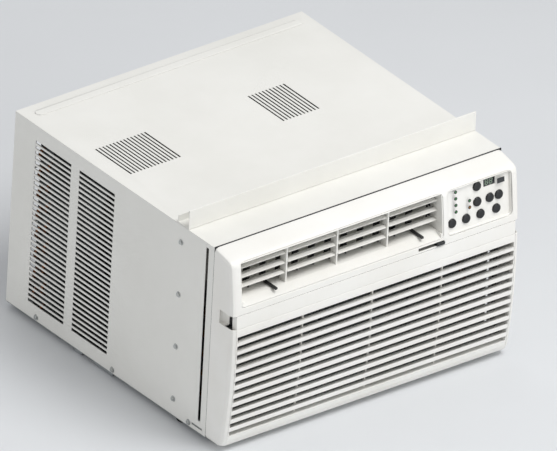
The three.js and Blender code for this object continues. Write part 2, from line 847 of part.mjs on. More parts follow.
function controlFascia() {
  const gap = fitGap;
  const buttonHoles = Object.values(buttonPlaces).map(([x, z]) =>
    circle(x, z, buttonRadius + buttonGap, buttonSides),
  );
  const [x, z] = windowPlace;
  const w = windowWidth / 2;
  const h = windowHeight / 2;
  const glazing = [
    [x - w, z - h],
    [x + w, z - h],
    [x + w, z + h],
    [x - w, z + h],
  ];
  const rimWall = 1.6;
  return join(
    prismY(podOutline(gap), fasciaY, fasciaY + fasciaThickness, [...buttonHoles, glazing]),
    prismY(podOutline(gap), 1.5, fasciaY + 0.5, [podOutline(gap + rimWall)]),
  );
}

function controlButton(x, z) {
  const backFlange = fasciaY + fasciaThickness + fitGap;
  const profile = [
    [0, fasciaY - buttonStand],
    [buttonRadius - 1.2, fasciaY - buttonStand],
    [buttonRadius, fasciaY - buttonStand + 1],
    [buttonRadius, backFlange + 1.5],
    [2, backFlange + 1.5],
    [2, backFlange + 4],
    [0, backFlange + 4],
  ];
  return turned("y", profile, x, z, buttonSides);
}

function displayWindow() {
  const [x, z] = windowPlace;
  const w = windowWidth / 2 - fitGap;
  const h = windowHeight / 2 - fitGap;
  return box(x - w, x + w, fasciaY + 0.4, fasciaY + fasciaThickness, z - h, z + h);
}

function circuitBoard() {
  const y = fasciaY + fasciaThickness + 8.5;
  const boardX = podWidth / 2 - 6;
  const pieces = [box(-boardX, boardX, y, y + 1.6, -openingHeight / 2 + 6, openingHeight / 2 - 4)];
  for (const [x, z] of Object.values(buttonPlaces)) {
    pieces.push(box(x - 3, x + 3, y - 2, y + 0.5, z - 3, z + 3));
  }
  const [x, z] = windowPlace;
  pieces.push(box(x - 10, x + 10, y - 6, y + 0.5, z - 5.5, z + 5.5));
  pieces.push(box(-50, -30, y + 1, y + 12, -8, 18));
  return join(...pieces);
}

const boxX0 = podX0 + 2;
const boxX1 = innerX - 4;
const boxY0 = yFront + 6;
const boxY1 = boxY0 + 120;
const boxZ0 = openingZ0 - 12;
const boxZ1 = zTop - sheet - 4;

function controlBox() {
  return cut(
    box(boxX0, boxX1, boxY0, boxY1, boxZ0, boxZ1),
    box(boxX0 + sheet, boxX1 - sheet, boxY0 - 1, boxY1 - sheet, boxZ0 + sheet, boxZ1 - sheet),
  );
}

function capacitor() {
  const radius = 22;
  const x = boxX1 - sheet - radius - looseGap;
  const z = boxZ0 + sheet + fitGap;
  const profile = [
    [0, z],
    [radius, z],
    [radius, z + 70],
    [radius - 3, z + 73],
    [0, z + 73],
  ];
  return turned("z", profile, x, boxY1 - 40, 20);
}

// ---------------------------------------------------------------- blower side

function evaporatorCoil() {
  const y0 = evaporatorY;
  const y1 = y0 + coilDepth;
  const block = box(-xSide + 22, evaporatorX1 - 12, y0, y1, evaporatorZ0, evaporatorZ1);
  const pieces = [block];
  pieces.push(box(-xSide + 20, -xSide + 23, y0 - 1, y1 + 4, evaporatorZ0 - 1, evaporatorZ1 + 1));
  pieces.push(box(evaporatorX1 - 13, evaporatorX1 - 10, y0 - 1, y1 + 4, evaporatorZ0 - 1, evaporatorZ1 + 1));
  for (let i = 0; i < 5; i++) {
    const z = evaporatorZ0 + 20 + i * 42;
    pieces.push(prismY(roundedRect(evaporatorX1 - 11, evaporatorX1, z - 14, z + 14, 5, 1), y0 + 10, y0 + 19));
  }
  return join(...pieces);
}

function scrollOutline(inset) {
  const points = [];
  const steps = 22;
  for (let i = 0; i <= steps; i++) {
    const angle = Math.PI * (0.75 + (1.5 * i) / steps);
    const radius = scrollRadius + (scrollGrowth * i) / steps - inset;
    points.push([shaftX + radius * Math.cos(angle), shaftZ + radius * Math.sin(angle)]);
  }
  return points;
}

function blowerHousing() {
  const thick = 3;
  const plenumX0 = channelX0 - thick;
  const plenumX1 = channelX1 + thick;
  const plenumZ1 = zTop - sheet - 5;
  const plenumZ0 = shelfZ - thick;
  const throat0 = shaftX - scrollRadius * 0.7;
  const throat1 = shaftX + scrollRadius * 0.9;
  const outside = join(
    prismY(scrollOutline(0), scrollFrontY, scrollBackY),
    box(throat0 - thick, throat1 + thick, scrollFrontY, scrollBackY, shaftZ, plenumZ0 + 1),
    box(plenumX0, plenumX1, outletBackY + fitGap, scrollBackY, plenumZ0, plenumZ1),
  );
  const inside = join(
    prismY(scrollOutline(thick), scrollFrontY + thick, scrollBackY + 1),
    box(throat0, throat1, scrollFrontY + thick, scrollBackY + 1, shaftZ, plenumZ0 + thick + 1),
    box(
      plenumX0 + thick,
      plenumX1 - thick,
      outletBackY,
      scrollBackY - thick,
      plenumZ0 + thick,
      plenumZ1 - thick,
    ),
    cylinder("y", blowerRadius - 14, scrollFrontY - 1, scrollBackY, shaftX, shaftZ, 28),
  );
  return cut(outside, inside);
}

function blowerWheel() {
  const y1 = scrollBackY - 8;
  const y0 = y1 - blowerLength;
  const bore = shaftRadius + 0.3;
  const disc = turned(
    "y",
    [
      [bore, y1 - 30],
      [bore, y1],
      [blowerRadius, y1],
      [blowerRadius, y1 - 2],
      [bore + 8, y1 - 2],
      [bore + 8, y1 - 30],
      [bore, y1 - 30],
    ],
    shaftX,
    shaftZ,
    24,
  );
  const ring = turned(
    "y",
    [
      [blowerRadius - 12, y0],
      [blowerRadius - 12, y0 + 3],
      [blowerRadius, y0 + 3],
      [blowerRadius, y0],
      [blowerRadius - 12, y0],
    ],
    shaftX,
    shaftZ,
    24,
  );
  const pieces = [disc, ring];
  for (let i = 0; i < blowerBlades; i++) {
    const blade = new THREE.BoxGeometry(11, blowerLength - 2.5, 1.6);
    blade.rotateY(0.6);
    blade.translate(blowerRadius - 6.6, (y0 + y1) / 2, 0);
    blade.rotateY((2 * Math.PI * i) / blowerBlades);
    blade.translate(shaftX, 0, shaftZ);
    pieces.push(solid(blade));
  }
  return join(...pieces);
}

function bulkhead() {
  const x = innerX - sheet - fitGap;
  const plate = box(-x, x, bulkheadY, bulkheadY + sheet, zFloor + fitGap, zTop - sheet - 2);
  const foot = box(-x, x, bulkheadY, bulkheadY + 20, zFloor + fitGap, zFloor + fitGap + sheet);
  return cut(
    plate.add(foot),
    cylinder("y", 26, bulkheadY - 1, bulkheadY + sheet + 1, shaftX, shaftZ, 20),
    box(
      ventHingeX + 5,
      ventHingeX + ventDoorWidth - 4,
      bulkheadY - 1,
      bulkheadY + 3,
      ventDoorZ0 + 4,
      ventDoorZ1 - 4,
    ),
    box(pipeX - 14, pipeX + 14, bulkheadY - 1, bulkheadY + 3, pipeZ - 26, pipeZ + 14),
  );
}

const pipeX = accumulatorX;
const pipeZ = 240;

// ---------------------------------------------------------------- machine side

function fanMotor() {
  const y0 = motorY0;
  const y1 = motorY0 + motorLength;
  const bore = shaftRadius + 0.3;
  const profile = [
    [bore, y0 - 8],
    [16, y0 - 8],
    [18, y0],
    [motorRadius - 14, y0 + 3],
    [motorRadius, y0 + 18],
    [motorRadius, y1 - 18],
    [motorRadius - 14, y1 - 3],
    [18, y1],
    [16, y1 + 8],
    [bore, y1 + 8],
    [bore, y0 - 8],
  ];
  return turned("y", profile, shaftX, shaftZ, 20);
}

function motorBracket() {
  const y = motorY0 + motorLength / 2;
  const plateY0 = y - 12;
  const outerRadius = motorRadius + 10;
  const yoke = cylinder("y", outerRadius, plateY0, plateY0 + 24, shaftX, shaftZ, 20);
  const legs = box(shaftX - 55, shaftX + 55, plateY0, plateY0 + 24, zFloor + fitGap, shaftZ);
  const soleZ = zFloor + fitGap;
  const soleplate = box(shaftX - 80, shaftX + 80, plateY0 - 14, plateY0 + 38, soleZ, soleZ + 4);
  return cut(
    join(yoke, legs, soleplate),
    cylinder("y", motorRadius + 1.5, plateY0 - 1, plateY0 + 25, shaftX, shaftZ, 20),
    box(shaftX - 38, shaftX + 38, plateY0 - 1, plateY0 + 25, zFloor + 20, shaftZ - motorRadius - 14),
  );
}

function fanShaft() {
  return cylinder("y", shaftRadius, scrollBackY - 8 - 32, fanY + 16, shaftX, shaftZ, 14);
}

function condenserFan() {
  const bore = shaftRadius + 0.3;
  const hub = turned(
    "y",
    [
      [bore, fanY - 14],
      [bore, fanY + 14],
      [34, fanY + 14],
      [34, fanY - 14],
      [bore, fanY - 14],
    ],
    shaftX,
    shaftZ,
    16,
  );
  const ring = turned(
    "y",
    [
      [fanRadius - 3, fanY - 10],
      [fanRadius - 3, fanY + 12],
      [fanRadius, fanY + 12],
      [fanRadius, fanY - 10],
      [fanRadius - 3, fanY - 10],
    ],
    shaftX,
    shaftZ,
    28,
  );
  const pieces = [hub, ring];
  const inner = 30;
  const outer = fanRadius - 1.5;
  for (let i = 0; i < fanBlades; i++) {
    const blade = new THREE.BoxGeometry(outer - inner, 3, 74, 2, 1, 1);
    const place = blade.attributes.position;
    for (let k = 0; k < place.count; k++) {
      const along = place.getX(k) / (outer - inner) + 0.5;
      const pitch = 0.5 - 0.25 * along;
      const width = place.getZ(k) * (0.5 + 0.5 * along);
      const thick = place.getY(k);
      const z = width * Math.cos(pitch) - thick * Math.sin(pitch);
      const y = width * Math.sin(pitch) * 0.6 + thick * Math.cos(pitch);
      place.setXYZ(k, place.getX(k), y, z);
    }
    blade.translate((inner + outer) / 2, 0, 0);
    blade.rotateY((2 * Math.PI * i) / fanBlades);
    blade.translate(shaftX, fanY, shaftZ);
    const bladeSolid = solid(blade);
    pieces.push(bladeSolid.intersect(cylinder("y", fanRadius - 1, fanY - 30, fanY + 30, shaftX, shaftZ, 28)));
  }
  return join(...pieces);
}

function fanShroud() {
  const x0 = -innerX + 2;
  const plate = box(x0, condenserX1, shroudY, shroudY + sheet, zFloor + fitGap, zTop - sheet - 3);
  const collar = cylinder("y", fanRadius + 12, shroudY - 30, shroudY + 1, shaftX, shaftZ, 36);
  return cut(
    plate.add(collar),
    cylinder("y", fanRadius + 9, shroudY - 31, shroudY + sheet + 1, shaftX, shaftZ, 36),
  );
}

function condenserCoil() {
  const x0 = -innerX + 4;
  const y0 = condenserY;
  const y1 = y0 + coilDepth;
  const z0 = zFloor + fitGap;
  const z1 = zTop - sheet - 4;
  const pieces = [box(x0 + 2, condenserX1 - 12, y0, y1, z0 + 2, z1 - 2)];
  pieces.push(box(x0, x0 + 3, y0 - 1, y1 + 4, z0, z1));
  pieces.push(box(condenserX1 - 13, condenserX1 - 10, y0 - 1, y1 + 4, z0, z1));
  for (let i = 0; i < 7; i++) {
    const z = z0 + 30 + i * 48;
    pieces.push(prismY(roundedRect(condenserX1 - 11, condenserX1, z - 16, z + 16, 5, 1), y0 + 12, y0 + 21));
  }
  return join(...pieces);
}

function compressor() {
  const r = compressorRadius;
  const z0 = zFloor + fitGap;
  const h = compressorHeight;
  const profile = [
    [0, z0 + 16],
    [r * 0.55, z0 + 18],
    [r * 0.88, z0 + 28],
    [r, z0 + 46],
    [r, z0 + h - 46],
    [r * 0.88, z0 + h - 22],
    [r * 0.55, z0 + h - 5],
    [0, z0 + h],
  ];
  const can = turned("z", profile, compressorX, compressorY, 20);
  const mounts = [];
  for (let i = 0; i < 3; i++) {
    const angle = (2 * Math.PI * i) / 3 + Math.PI / 2;
    const x = compressorX + (r - 8) * Math.cos(angle);
    const y = compressorY + (r - 8) * Math.sin(angle);
    mounts.push(cylinder("z", 12, z0, z0 + 40, x, y, 8));
  }
  const terminalBox = box(
    compressorX - 20,
    compressorX + 20,
    compressorY - 16,
    compressorY + 16,
    z0 + h - 10,
    z0 + h + 18,
  );
  return join(can, terminalBox, ...mounts);
}

function accumulator() {
  const z0 = 90;
  const z1 = 200;
  const r = accumulatorRadius;
  const profile = [
    [0, z0 - 8],
    [r * 0.6, z0 - 4],
    [r, z0 + 8],
    [r, z1 - 8],
    [r * 0.6, z1 + 4],
    [0, z1 + 8],
  ];
  const can = turned("z", profile, accumulatorX, accumulatorY, 14);
  const towards = new THREE.Vector2(compressorX - accumulatorX, compressorY - accumulatorY).normalize();
  const reach = accumulatorRadius + 7;
  const stub = tube(
    [
      [accumulatorX, accumulatorY, z0],
      [accumulatorX, accumulatorY, z0 - 18],
      [accumulatorX + towards.x * 10, accumulatorY + towards.y * 10, z0 - 26],
      [accumulatorX + towards.x * reach, accumulatorY + towards.y * reach, z0 - 26],
    ],
    5,
    6,
    8,
  );
  return join(can, stub);
}

const suctionPath = [
  [evaporatorX1 + 6.5, evaporatorY + 14, pipeZ - 30],
  [pipeX - 10, evaporatorY + 30, pipeZ - 28],
  [pipeX, evaporatorY + 90, pipeZ - 6],
  [pipeX, bulkheadY - 30, pipeZ],
  [pipeX, bulkheadY + 8, pipeZ],
  [accumulatorX, accumulatorY - 2, pipeZ - 8],
  [accumulatorX, accumulatorY, 209],
];

const dischargePath = [
  [compressorX + 40, compressorY + 20, zFloor + compressorHeight + 4],
  [compressorX + 42, compressorY + 22, zFloor + compressorHeight + 40],
  [compressorX + 60, compressorY + 60, zFloor + compressorHeight + 70],
  [condenserX1 + 18, shroudY - 30, zFloor + compressorHeight + 84],
  [condenserX1 + 18, condenserY + 8, zFloor + compressorHeight + 84],
  [condenserX1 + 10, condenserY + 16, zFloor + compressorHeight + 84],
  [condenserX1 + 1, condenserY + 16, zFloor + compressorHeight + 84],
];

const capillaryPath = [
  [condenserX1 + 1, condenserY + 30, 60],
  [condenserX1 + 22, condenserY + 10, 60],
  [condenserX1 + 26, shroudY - 40, 60],
  [condenserX1 + 27, compressorY + 40, 90],
  [pipeX + 24, compressorY, 200],
  [pipeX + 9, bulkheadY + 14, pipeZ - 16],
  [pipeX + 9, bulkheadY - 40, pipeZ - 18],
  [pipeX + 4, evaporatorY + 60, 150],
  [evaporatorX1 + 14, evaporatorY + 14, 120],
  [evaporatorX1 + 1, evaporatorY + 14, 120],
];

// ---------------------------------------------------------------- assembly

addPart("cabinet_shell", cabinetShell(), paintedSteel);
addPart("base_pan", basePan(), zincSteel);
addPart("rear_guard", rearGuard(), paintedSteel);
addPart("top_rail", topRail(), paintedSteel);
const frontFootY = yBack - 461;
const rearFootY = yBack - 60;
addPart("foot_front_left", foot(-xSide + 20, frontFootY), rubber);
addPart("foot_front_right", foot(xSide - 20, frontFootY), rubber);
addPart("foot_rear_left", foot(-xSide + 120, rearFootY), rubber);
addPart("foot_rear_right", foot(xSide - 120, rearFootY), rubber);

addPart("front_panel", frontPanel(), whitePlastic);
addPart("cord_gland", cordGland(), rubber);
addPart("intake_grille", intakeGrille(), whitePlastic);
addPart("air_filter", airFilter(), filterNet);

addPart("outlet_frame", outletFrame(), whitePlastic);
bladeZs.forEach((z, i) => addPart("louvre_blade_" + (i + 1), louvreBlade(z), whitePlastic));
addPart("louvre_link", louvreLink(), darkPlastic);
vaneXs.forEach((x, i) => addPart("air_vane_" + (i + 1), vane(x, leverVanes.includes(i)), darkPlastic));
addPart("vane_link_left", vaneLink(vaneXs.slice(0, leftGroupCount)), darkPlastic);
addPart("vane_link_right", vaneLink(vaneXs.slice(leftGroupCount)), darkPlastic);
addPart("vent_lever", ventLever(), darkPlastic);
addPart("vent_door", ventDoor(), darkPlastic);

addPart("control_fascia", controlFascia(), whitePlastic, pod);
addPart("display_window", displayWindow(), clearPlastic, pod);
for (const [name, [x, z]] of Object.entries(buttonPlaces)) {
  addPart(name, controlButton(x, z), darkPlastic, pod);
}
addPart("circuit_board", circuitBoard(), boardGreen, pod);
addPart("control_box", controlBox(), zincSteel);
addPart("capacitor", capacitor(), aluminiumFins);

addPart("evaporator_coil", evaporatorCoil(), aluminiumFins);
addPart("blower_housing", blowerHousing(), foam);
addPart("blower_wheel", blowerWheel(), darkPlastic);
addPart("bulkhead", bulkhead(), zincSteel);
addPart("fan_motor", fanMotor(), blackSteel);
addPart("motor_bracket", motorBracket(), zincSteel);
addPart("fan_shaft", fanShaft(), zincSteel);
addPart("condenser_fan", condenserFan(), darkPlastic);
addPart("fan_shroud", fanShroud(), zincSteel);
addPart("condenser_coil", condenserCoil(), aluminiumFins);
addPart("compressor", compressor(), blackSteel);
addPart("accumulator", accumulator(), blackSteel);
addPart("suction_pipe", tube(suctionPath, 5, 6, 20), copper);
addPart("discharge_pipe", tube(dischargePath, 4, 6, 18), copper);
addPart("capillary_tube", tube(capillaryPath, 1.6, 5, 26), copper);

export default airConditioner;
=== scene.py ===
import json
import math

import bmesh
import bpy
from mathutils import Matrix, Vector


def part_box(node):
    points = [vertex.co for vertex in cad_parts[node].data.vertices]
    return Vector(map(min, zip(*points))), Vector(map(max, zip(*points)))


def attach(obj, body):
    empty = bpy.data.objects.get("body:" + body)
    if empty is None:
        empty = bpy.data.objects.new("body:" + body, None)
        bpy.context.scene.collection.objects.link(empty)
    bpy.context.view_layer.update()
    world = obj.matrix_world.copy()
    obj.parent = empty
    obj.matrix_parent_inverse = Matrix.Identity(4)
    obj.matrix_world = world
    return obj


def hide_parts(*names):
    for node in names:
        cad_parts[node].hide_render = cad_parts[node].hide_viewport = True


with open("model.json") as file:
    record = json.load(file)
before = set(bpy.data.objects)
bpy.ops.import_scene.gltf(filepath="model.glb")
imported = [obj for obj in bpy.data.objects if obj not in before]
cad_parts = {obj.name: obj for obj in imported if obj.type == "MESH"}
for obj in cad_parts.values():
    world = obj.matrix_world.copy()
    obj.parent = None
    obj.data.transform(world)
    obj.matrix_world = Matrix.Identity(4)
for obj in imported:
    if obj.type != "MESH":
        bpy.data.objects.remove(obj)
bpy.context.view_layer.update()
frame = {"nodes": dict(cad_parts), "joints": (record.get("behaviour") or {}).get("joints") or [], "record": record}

MM = 0.001
ON_PLANE = 0.01 * MM  # nearer to a plane than this is on it
ONE_POINT = 0.002 * MM  # nearer to each other than this is one vertex
ONE_FACE = math.radians(0.6)  # faces that meet flatter than this are one
SHARP = 35  # degrees from which an edge counts as sharp


# ---- small tools -------------------------------------------------------------------------------


def linear(hex_value):
    """A colour given as an sRGB hex value, turned to linear."""
    parts = [int(hex_value[i : i + 2], 16) / 255 for i in (1, 3, 5)]
    return [c / 12.92 if c <= 0.04045 else ((c + 0.055) / 1.055) ** 2.4 for c in parts] + [1.0]


def add(tree, kind, inputs=None, **settings):
    """Adds a node. A value for an input is set on it, and a socket is linked to it."""
    made = tree.nodes.new(kind)
    for key, value in settings.items():
        setattr(made, key, value)
    for key, value in (inputs or {}).items():
        socket = made.inputs[key]
        if isinstance(value, bpy.types.NodeSocket):
            tree.links.new(value, socket)
        else:
            socket.default_value = value
    return made


def settled(piece):
    """The piece with what its modifiers make as its plain mesh."""
    bpy.context.view_layer.update()
    graph = bpy.context.evaluated_depsgraph_get()
    mesh = bpy.data.meshes.new_from_object(
        piece.evaluated_get(graph), preserve_all_data_layers=True, depsgraph=graph
    )
    piece.modifiers.clear()
    old = piece.data
    piece.data = mesh
    bpy.data.meshes.remove(old)
    mesh.name = piece.name
    return piece


def new_piece(name, mesh, finish):
    """An object with the mesh, in one finish."""
    piece = bpy.data.objects.new(name, mesh)
    bpy.context.scene.collection.objects.link(piece)
    mesh.materials.clear()
    mesh.materials.append(finish)
    return piece


def set_on(piece, body, node=None):
    """Puts a piece on a body, and in a frame node's place if one is given."""
    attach(piece, body)
    if node:
        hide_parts(node)


def smooth_by_angle(mesh, degrees=SHARP):
    mesh.shade_smooth()
    mesh.set_sharp_from_angle(angle=math.radians(degrees))


FOLD_MARK = "bevel_weight_edge"


def mark_folds(mesh):
    """Marks the edges along the outer corners of a folded box, so that only they get a radius."""
    reach = [[v.co[axis] for v in mesh.vertices] for axis in range(3)]
    outer = [(min(values), max(values)) for values in reach]
    marks = mesh.attributes.new(FOLD_MARK, "FLOAT", "EDGE")
    for edge in mesh.edges:
        ends = [mesh.vertices[i].co for i in edge.vertices]
        planes = sum(
            any(all(abs(end[axis] - at) < ON_PLANE for end in ends) for at in outer[axis])
            for axis in range(3)
        )
        marks.data[edge.index].value = 1.0 if planes >= 2 else 0.0


def rounded(piece, width, segments=2):
    """Edges sharper than the angle get a small radius, as a mould or a fold leaves."""
    piece.data.shade_smooth()
    bevel = piece.modifiers.new("edge", "BEVEL")
    bevel.limit_method = "WEIGHT" if FOLD_MARK in piece.data.attributes else "ANGLE"
    bevel.angle_limit = math.radians(SHARP)
    bevel.width = width * MM
    bevel.segments = segments
    bevel.use_clamp_overlap = False
    shade = piece.modifiers.new("shade", "WEIGHTED_NORMAL")
    shade.mode = "FACE_AREA"
    shade.weight = 50
    return settled(piece)


def carried(node, finish, body, edge):
    """A finished copy of a frame node, its triangles joined up and its edges rounded."""
    mesh = frame["nodes"][node].data.copy()
    shape = bmesh.new()
    shape.from_mesh(mesh)
    bmesh.ops.remove_doubles(shape, verts=shape.verts, dist=ONE_POINT)
    if node not in PIERCED:
        bmesh.ops.dissolve_limit(
            shape, angle_limit=ONE_FACE, verts=shape.verts, edges=shape.edges
        )
    shape.to_mesh(mesh)
    shape.free()
    piece = new_piece(node + "_finished", mesh, finish)
    if node in FOLDED:
        mark_folds(mesh)
    if edge:
        rounded(piece, edge)
    else:
        smooth_by_angle(piece.data)
    set_on(piece, body, node)


def box_into(shape, low, high):
    """A closed box, in millimetres, added to a bmesh."""
    made = bmesh.ops.create_cube(shape, size=1)["verts"]
    middle = [(a + b) / 2 * MM for a, b in zip(low, high)]
    size = [(b - a) * MM for a, b in zip(low, high)]
    for v in made:
        v.co = Vector(m + c * s for m, c, s in zip(middle, v.co, size))
    return made


def turned_mesh(name, profile, steps=32):
    """A closed shape turned about Z, from (radius, height) points in millimetres."""
    shape = bmesh.new()
    turn = [2 * math.pi * i / steps for i in range(steps)]
    rings = []
    for radius, height in profile:
        r, h = radius * MM, height * MM
        if radius == 0:
            rings.append([shape.verts.new((0, 0, h))])
        else:
            rings.append([shape.verts.new((r * math.cos(a), r * math.sin(a), h)) for a in turn])
    for lower, upper in zip(rings, rings[1:]):
        for i in range(steps):
            k = (i + 1) % steps
            corners = [lower[n % len(lower)] for n in (i, k)]
            corners += [upper[n % len(upper)] for n in (k, i)]
            shape.faces.new(list(dict.fromkeys(corners)))
    bmesh.ops.recalc_face_normals(shape, faces=shape.faces)
    mesh = bpy.data.meshes.new(name)
    shape.to_mesh(mesh)
    shape.free()
    return mesh


def tube_into(shape, path, radius, sides=10):
    """A closed tube through points in millimetres, added to a bmesh."""
    points = [Vector(p) * MM for p in path]
    turn = [2 * math.pi * k / sides for k in range(sides)]
    side = None
    rings = []
    for i, p in enumerate(points):
        ahead = (points[min(i + 1, len(points) - 1)] - points[max(i - 1, 0)]).normalized()
        if side is None:
            start = Vector((0, 0, 1)) if abs(ahead.z) < 0.8 else Vector((1, 0, 0))
            side = ahead.cross(start).normalized()
        side = (side - ahead * side.dot(ahead)).normalized()
        other = ahead.cross(side)
        rings.append(
            [
                shape.verts.new(p + (side * math.cos(a) + other * math.sin(a)) * radius * MM)
                for a in turn
            ]
        )
    for first, second in zip(rings, rings[1:]):
        for k in range(sides):
            n = (k + 1) % sides
            shape.faces.new((first[k], first[n], second[n], second[k]))
    shape.faces.new(rings[0][::-1])
    shape.faces.new(rings[-1])


def mesh_from(name, fill):
    """The mesh that fill(bmesh) makes."""
    shape = bmesh.new()
    fill(shape)
    bmesh.ops.recalc_face_normals(shape, faces=shape.faces)
    mesh = bpy.data.meshes.new(name)
    shape.to_mesh(mesh)
    shape.free()
    return mesh


# ---- the tree that repeats a part ---------------------------------------------------------------


def tree_with_inputs(name, sockets):
    """A Geometry Nodes tree with named inputs, its input node and its output node."""
    tree = bpy.data.node_groups.new(name, "GeometryNodeTree")
    tree.interface.new_socket("Geometry", in_out="OUTPUT", socket_type="NodeSocketGeometry")
    for title, kind in sockets:
        tree.interface.new_socket(title, in_out="INPUT", socket_type=kind)
    return tree, add(tree, "NodeGroupInput"), add(tree, "NodeGroupOutput")


def rows_of_parts():
    """A part repeated in a row, and the row repeated across."""
    tree, given, result = tree_with_inputs(
        "rows_of_parts",
        [
            ("Part", "NodeSocketGeometry"),
            ("Count", "NodeSocketInt"),
            ("Step", "NodeSocketVector"),
            ("Row count", "NodeSocketInt"),
            ("Row step", "NodeSocketVector"),
            ("Finish", "NodeSocketMaterial"),
        ],
    )
    shape = given.outputs["Part"]
    for count, step in (("Count", "Step"), ("Row count", "Row step")):
        line = add(
            tree,
            "GeometryNodeMeshLine",
            {"Count": given.outputs[count], "Offset": given.outputs[step]},
            mode="OFFSET",
        )
        on_points = add(
            tree,
            "GeometryNodeInstanceOnPoints",
            {"Points": line.outputs["Mesh"], "Instance": shape},
        )
        shape = add(
            tree, "GeometryNodeRealizeInstances", {"Geometry": on_points.outputs["Instances"]}
        ).outputs["Geometry"]
    finished = add(
        tree, "GeometryNodeSetMaterial", {"Geometry": shape, "Material": given.outputs["Finish"]}
    )
    tree.links.new(finished.outputs["Geometry"], result.inputs["Geometry"])
    return tree


ROWS = rows_of_parts()


def rows(name, mesh, finish, body, count, step, row_count=1, row_step=(0, 0, 0)):
    """A part in rows, as a plain piece on a body. Steps are in millimetres."""
    piece = new_piece(name, mesh, finish)
    modifier = piece.modifiers.new(ROWS.name, "NODES")
    modifier.node_group = ROWS
    wanted = {
        "Count": count,
        "Step": [c * MM for c in step],
        "Row count": row_count,
        "Row step": [c * MM for c in row_step],
        "Finish": finish,
    }
    for item in ROWS.interface.items_tree:
        if item.in_out == "INPUT" and item.name in wanted:
            modifier[item.identifier] = wanted[item.name]
    settled(piece)
    set_on(piece, body)
    return piece


# ---- finishes ----------------------------------------------------------------------------------


# Sockets of the colour mix node, which has several by each name.
MIX_SHARE, MIX_FIRST, MIX_SECOND, MIX_RESULT = 0, 6, 7, 2


def surface(
    name,
    colour,
    second,
    *,
    roughness,
    cloud_mm,
    grain_mm,
    bump_mm,
    metallic=0.0,
    ior=None,
    cells=None,
    stretch=(1, 1, 1),
    coat=0.0,
    spread=0.08,
    sheen=0.0,
):
    """A finish: clouds of two close colours, a fine grain that moves the roughness, and its bump.

    The grain is noise, or the named output of a cell pattern. Its spread is how far it moves
    the roughness to each side, and its stretch scales it along each axis.
    """
    finish = bpy.data.materials.new(name)
    finish.use_nodes = True
    tree = finish.node_tree
    tree.nodes.clear()
    place = add(tree, "ShaderNodeTexCoord").outputs["Object"]
    drawn = add(tree, "ShaderNodeMapping", {"Vector": place, "Scale": stretch}).outputs["Vector"]
    cloud_scale, grain_scale = 1 / (cloud_mm * MM), 1 / (grain_mm * MM)
    clouds = add(
        tree,
        "ShaderNodeTexNoise",
        {"Vector": place, "Scale": cloud_scale, "Detail": 4.0, "Roughness": 0.6},
    )
    if cells:
        pattern = add(tree, "ShaderNodeTexVoronoi", {"Vector": drawn, "Scale": grain_scale})
    else:
        pattern = add(
            tree, "ShaderNodeTexNoise", {"Vector": drawn, "Scale": grain_scale, "Detail": 3.0}
        )
    grain = pattern.outputs[cells or "Fac"]
    share = add(
        tree,
        "ShaderNodeMapRange",
        {"Value": clouds.outputs["Fac"], "From Min": 0.3, "From Max": 0.7},
    )
    mix = add(
        tree,
        "ShaderNodeMix",
        {
            MIX_SHARE: share.outputs["Result"],
            MIX_FIRST: linear(colour),
            MIX_SECOND: linear(second),
        },
        data_type="RGBA",
    )
    rough = add(
        tree,
        "ShaderNodeMapRange",
        {
            "Value": grain,
            "To Min": max(roughness - spread, 0.02),
            "To Max": min(roughness + spread, 1),
        },
    )
    bump = add(
        tree, "ShaderNodeBump", {"Height": grain, "Strength": 1.0, "Distance": bump_mm * MM}
    )
    shader = add(
        tree,
        "ShaderNodeBsdfPrincipled",
        {
            "Base Color": mix.outputs[MIX_RESULT],
            "Roughness": rough.outputs["Result"],
            "Normal": bump.outputs["Normal"],
            "Metallic": metallic,
            "Coat Weight": coat,
            "Sheen Weight": sheen,
        },
    )
    if ior:
        shader.inputs["IOR"].default_value = ior
    add(tree, "ShaderNodeOutputMaterial", {"Surface": shader.outputs["BSDF"]})
    return finish


# Polyester powder coat baked on steel: a smooth white with a faint orange peel, drawn at 3 mm so
# that it shows.
POWDER_COAT = surface(
    "powder_coated_steel", "#ECEBE6", "#E4E3DD",
    roughness=0.42, cloud_mm=220, grain_mm=3.0, bump_mm=0.02, ior=1.5, coat=0.15,
)
# ABS moulded against a spark-eroded tool: a soft even white with fine matt grain, drawn at 1.2 mm
# so that it shows.
WHITE_ABS = surface(
    "moulded_white_abs", "#F3F2EE", "#ECEAE4",
    roughness=0.38, cloud_mm=160, grain_mm=1.2, bump_mm=0.012, ior=1.53,
)
# The same resin polished in the tool: blades and frame inside the outlet are a little glossier.
OUTLET_ABS = surface(
    "polished_white_abs", "#F0EFEA", "#E9E7E1",
    roughness=0.3, cloud_mm=90, grain_mm=2.0, bump_mm=0.008, ior=1.53,
)
# Black ABS with a fine grain: vanes, levers and links read as dark against the white.
DARK_ABS = surface(
    "moulded_black_abs", "#1B1C1E", "#232426",
    roughness=0.45, cloud_mm=40, grain_mm=0.9, bump_mm=0.012, ior=1.53,
)
# Moulded button caps: black with a satin top that takes a soft highlight.
BUTTON_RUBBER = surface(
    "moulded_button_cap", "#121315", "#1A1B1D",
    roughness=0.36, cloud_mm=12, grain_mm=0.7, bump_mm=0.01, ior=1.5,
)
# Hot-dip galvanised steel: grey with frozen zinc flakes about 9 mm across.
GALVANISED = surface(
    "galvanised_steel", "#A9ADAE", "#BEC1C2",
    roughness=0.42, cloud_mm=30, grain_mm=9.0, bump_mm=0.006, metallic=1.0, cells="Color",
    spread=0.12,
)
# Matt galvanised steel inside the cabinet, the flakes hardly seen; painted shade makes it dark grey.
MATT_ZINC_PAINTED_SHADE = surface(
    "matt_galvanised_painted_shade", "#5E6264", "#6C7072",
    roughness=0.68, cloud_mm=30, grain_mm=9.0, bump_mm=0.006, metallic=0.7, cells="Color",
    spread=0.06,
)
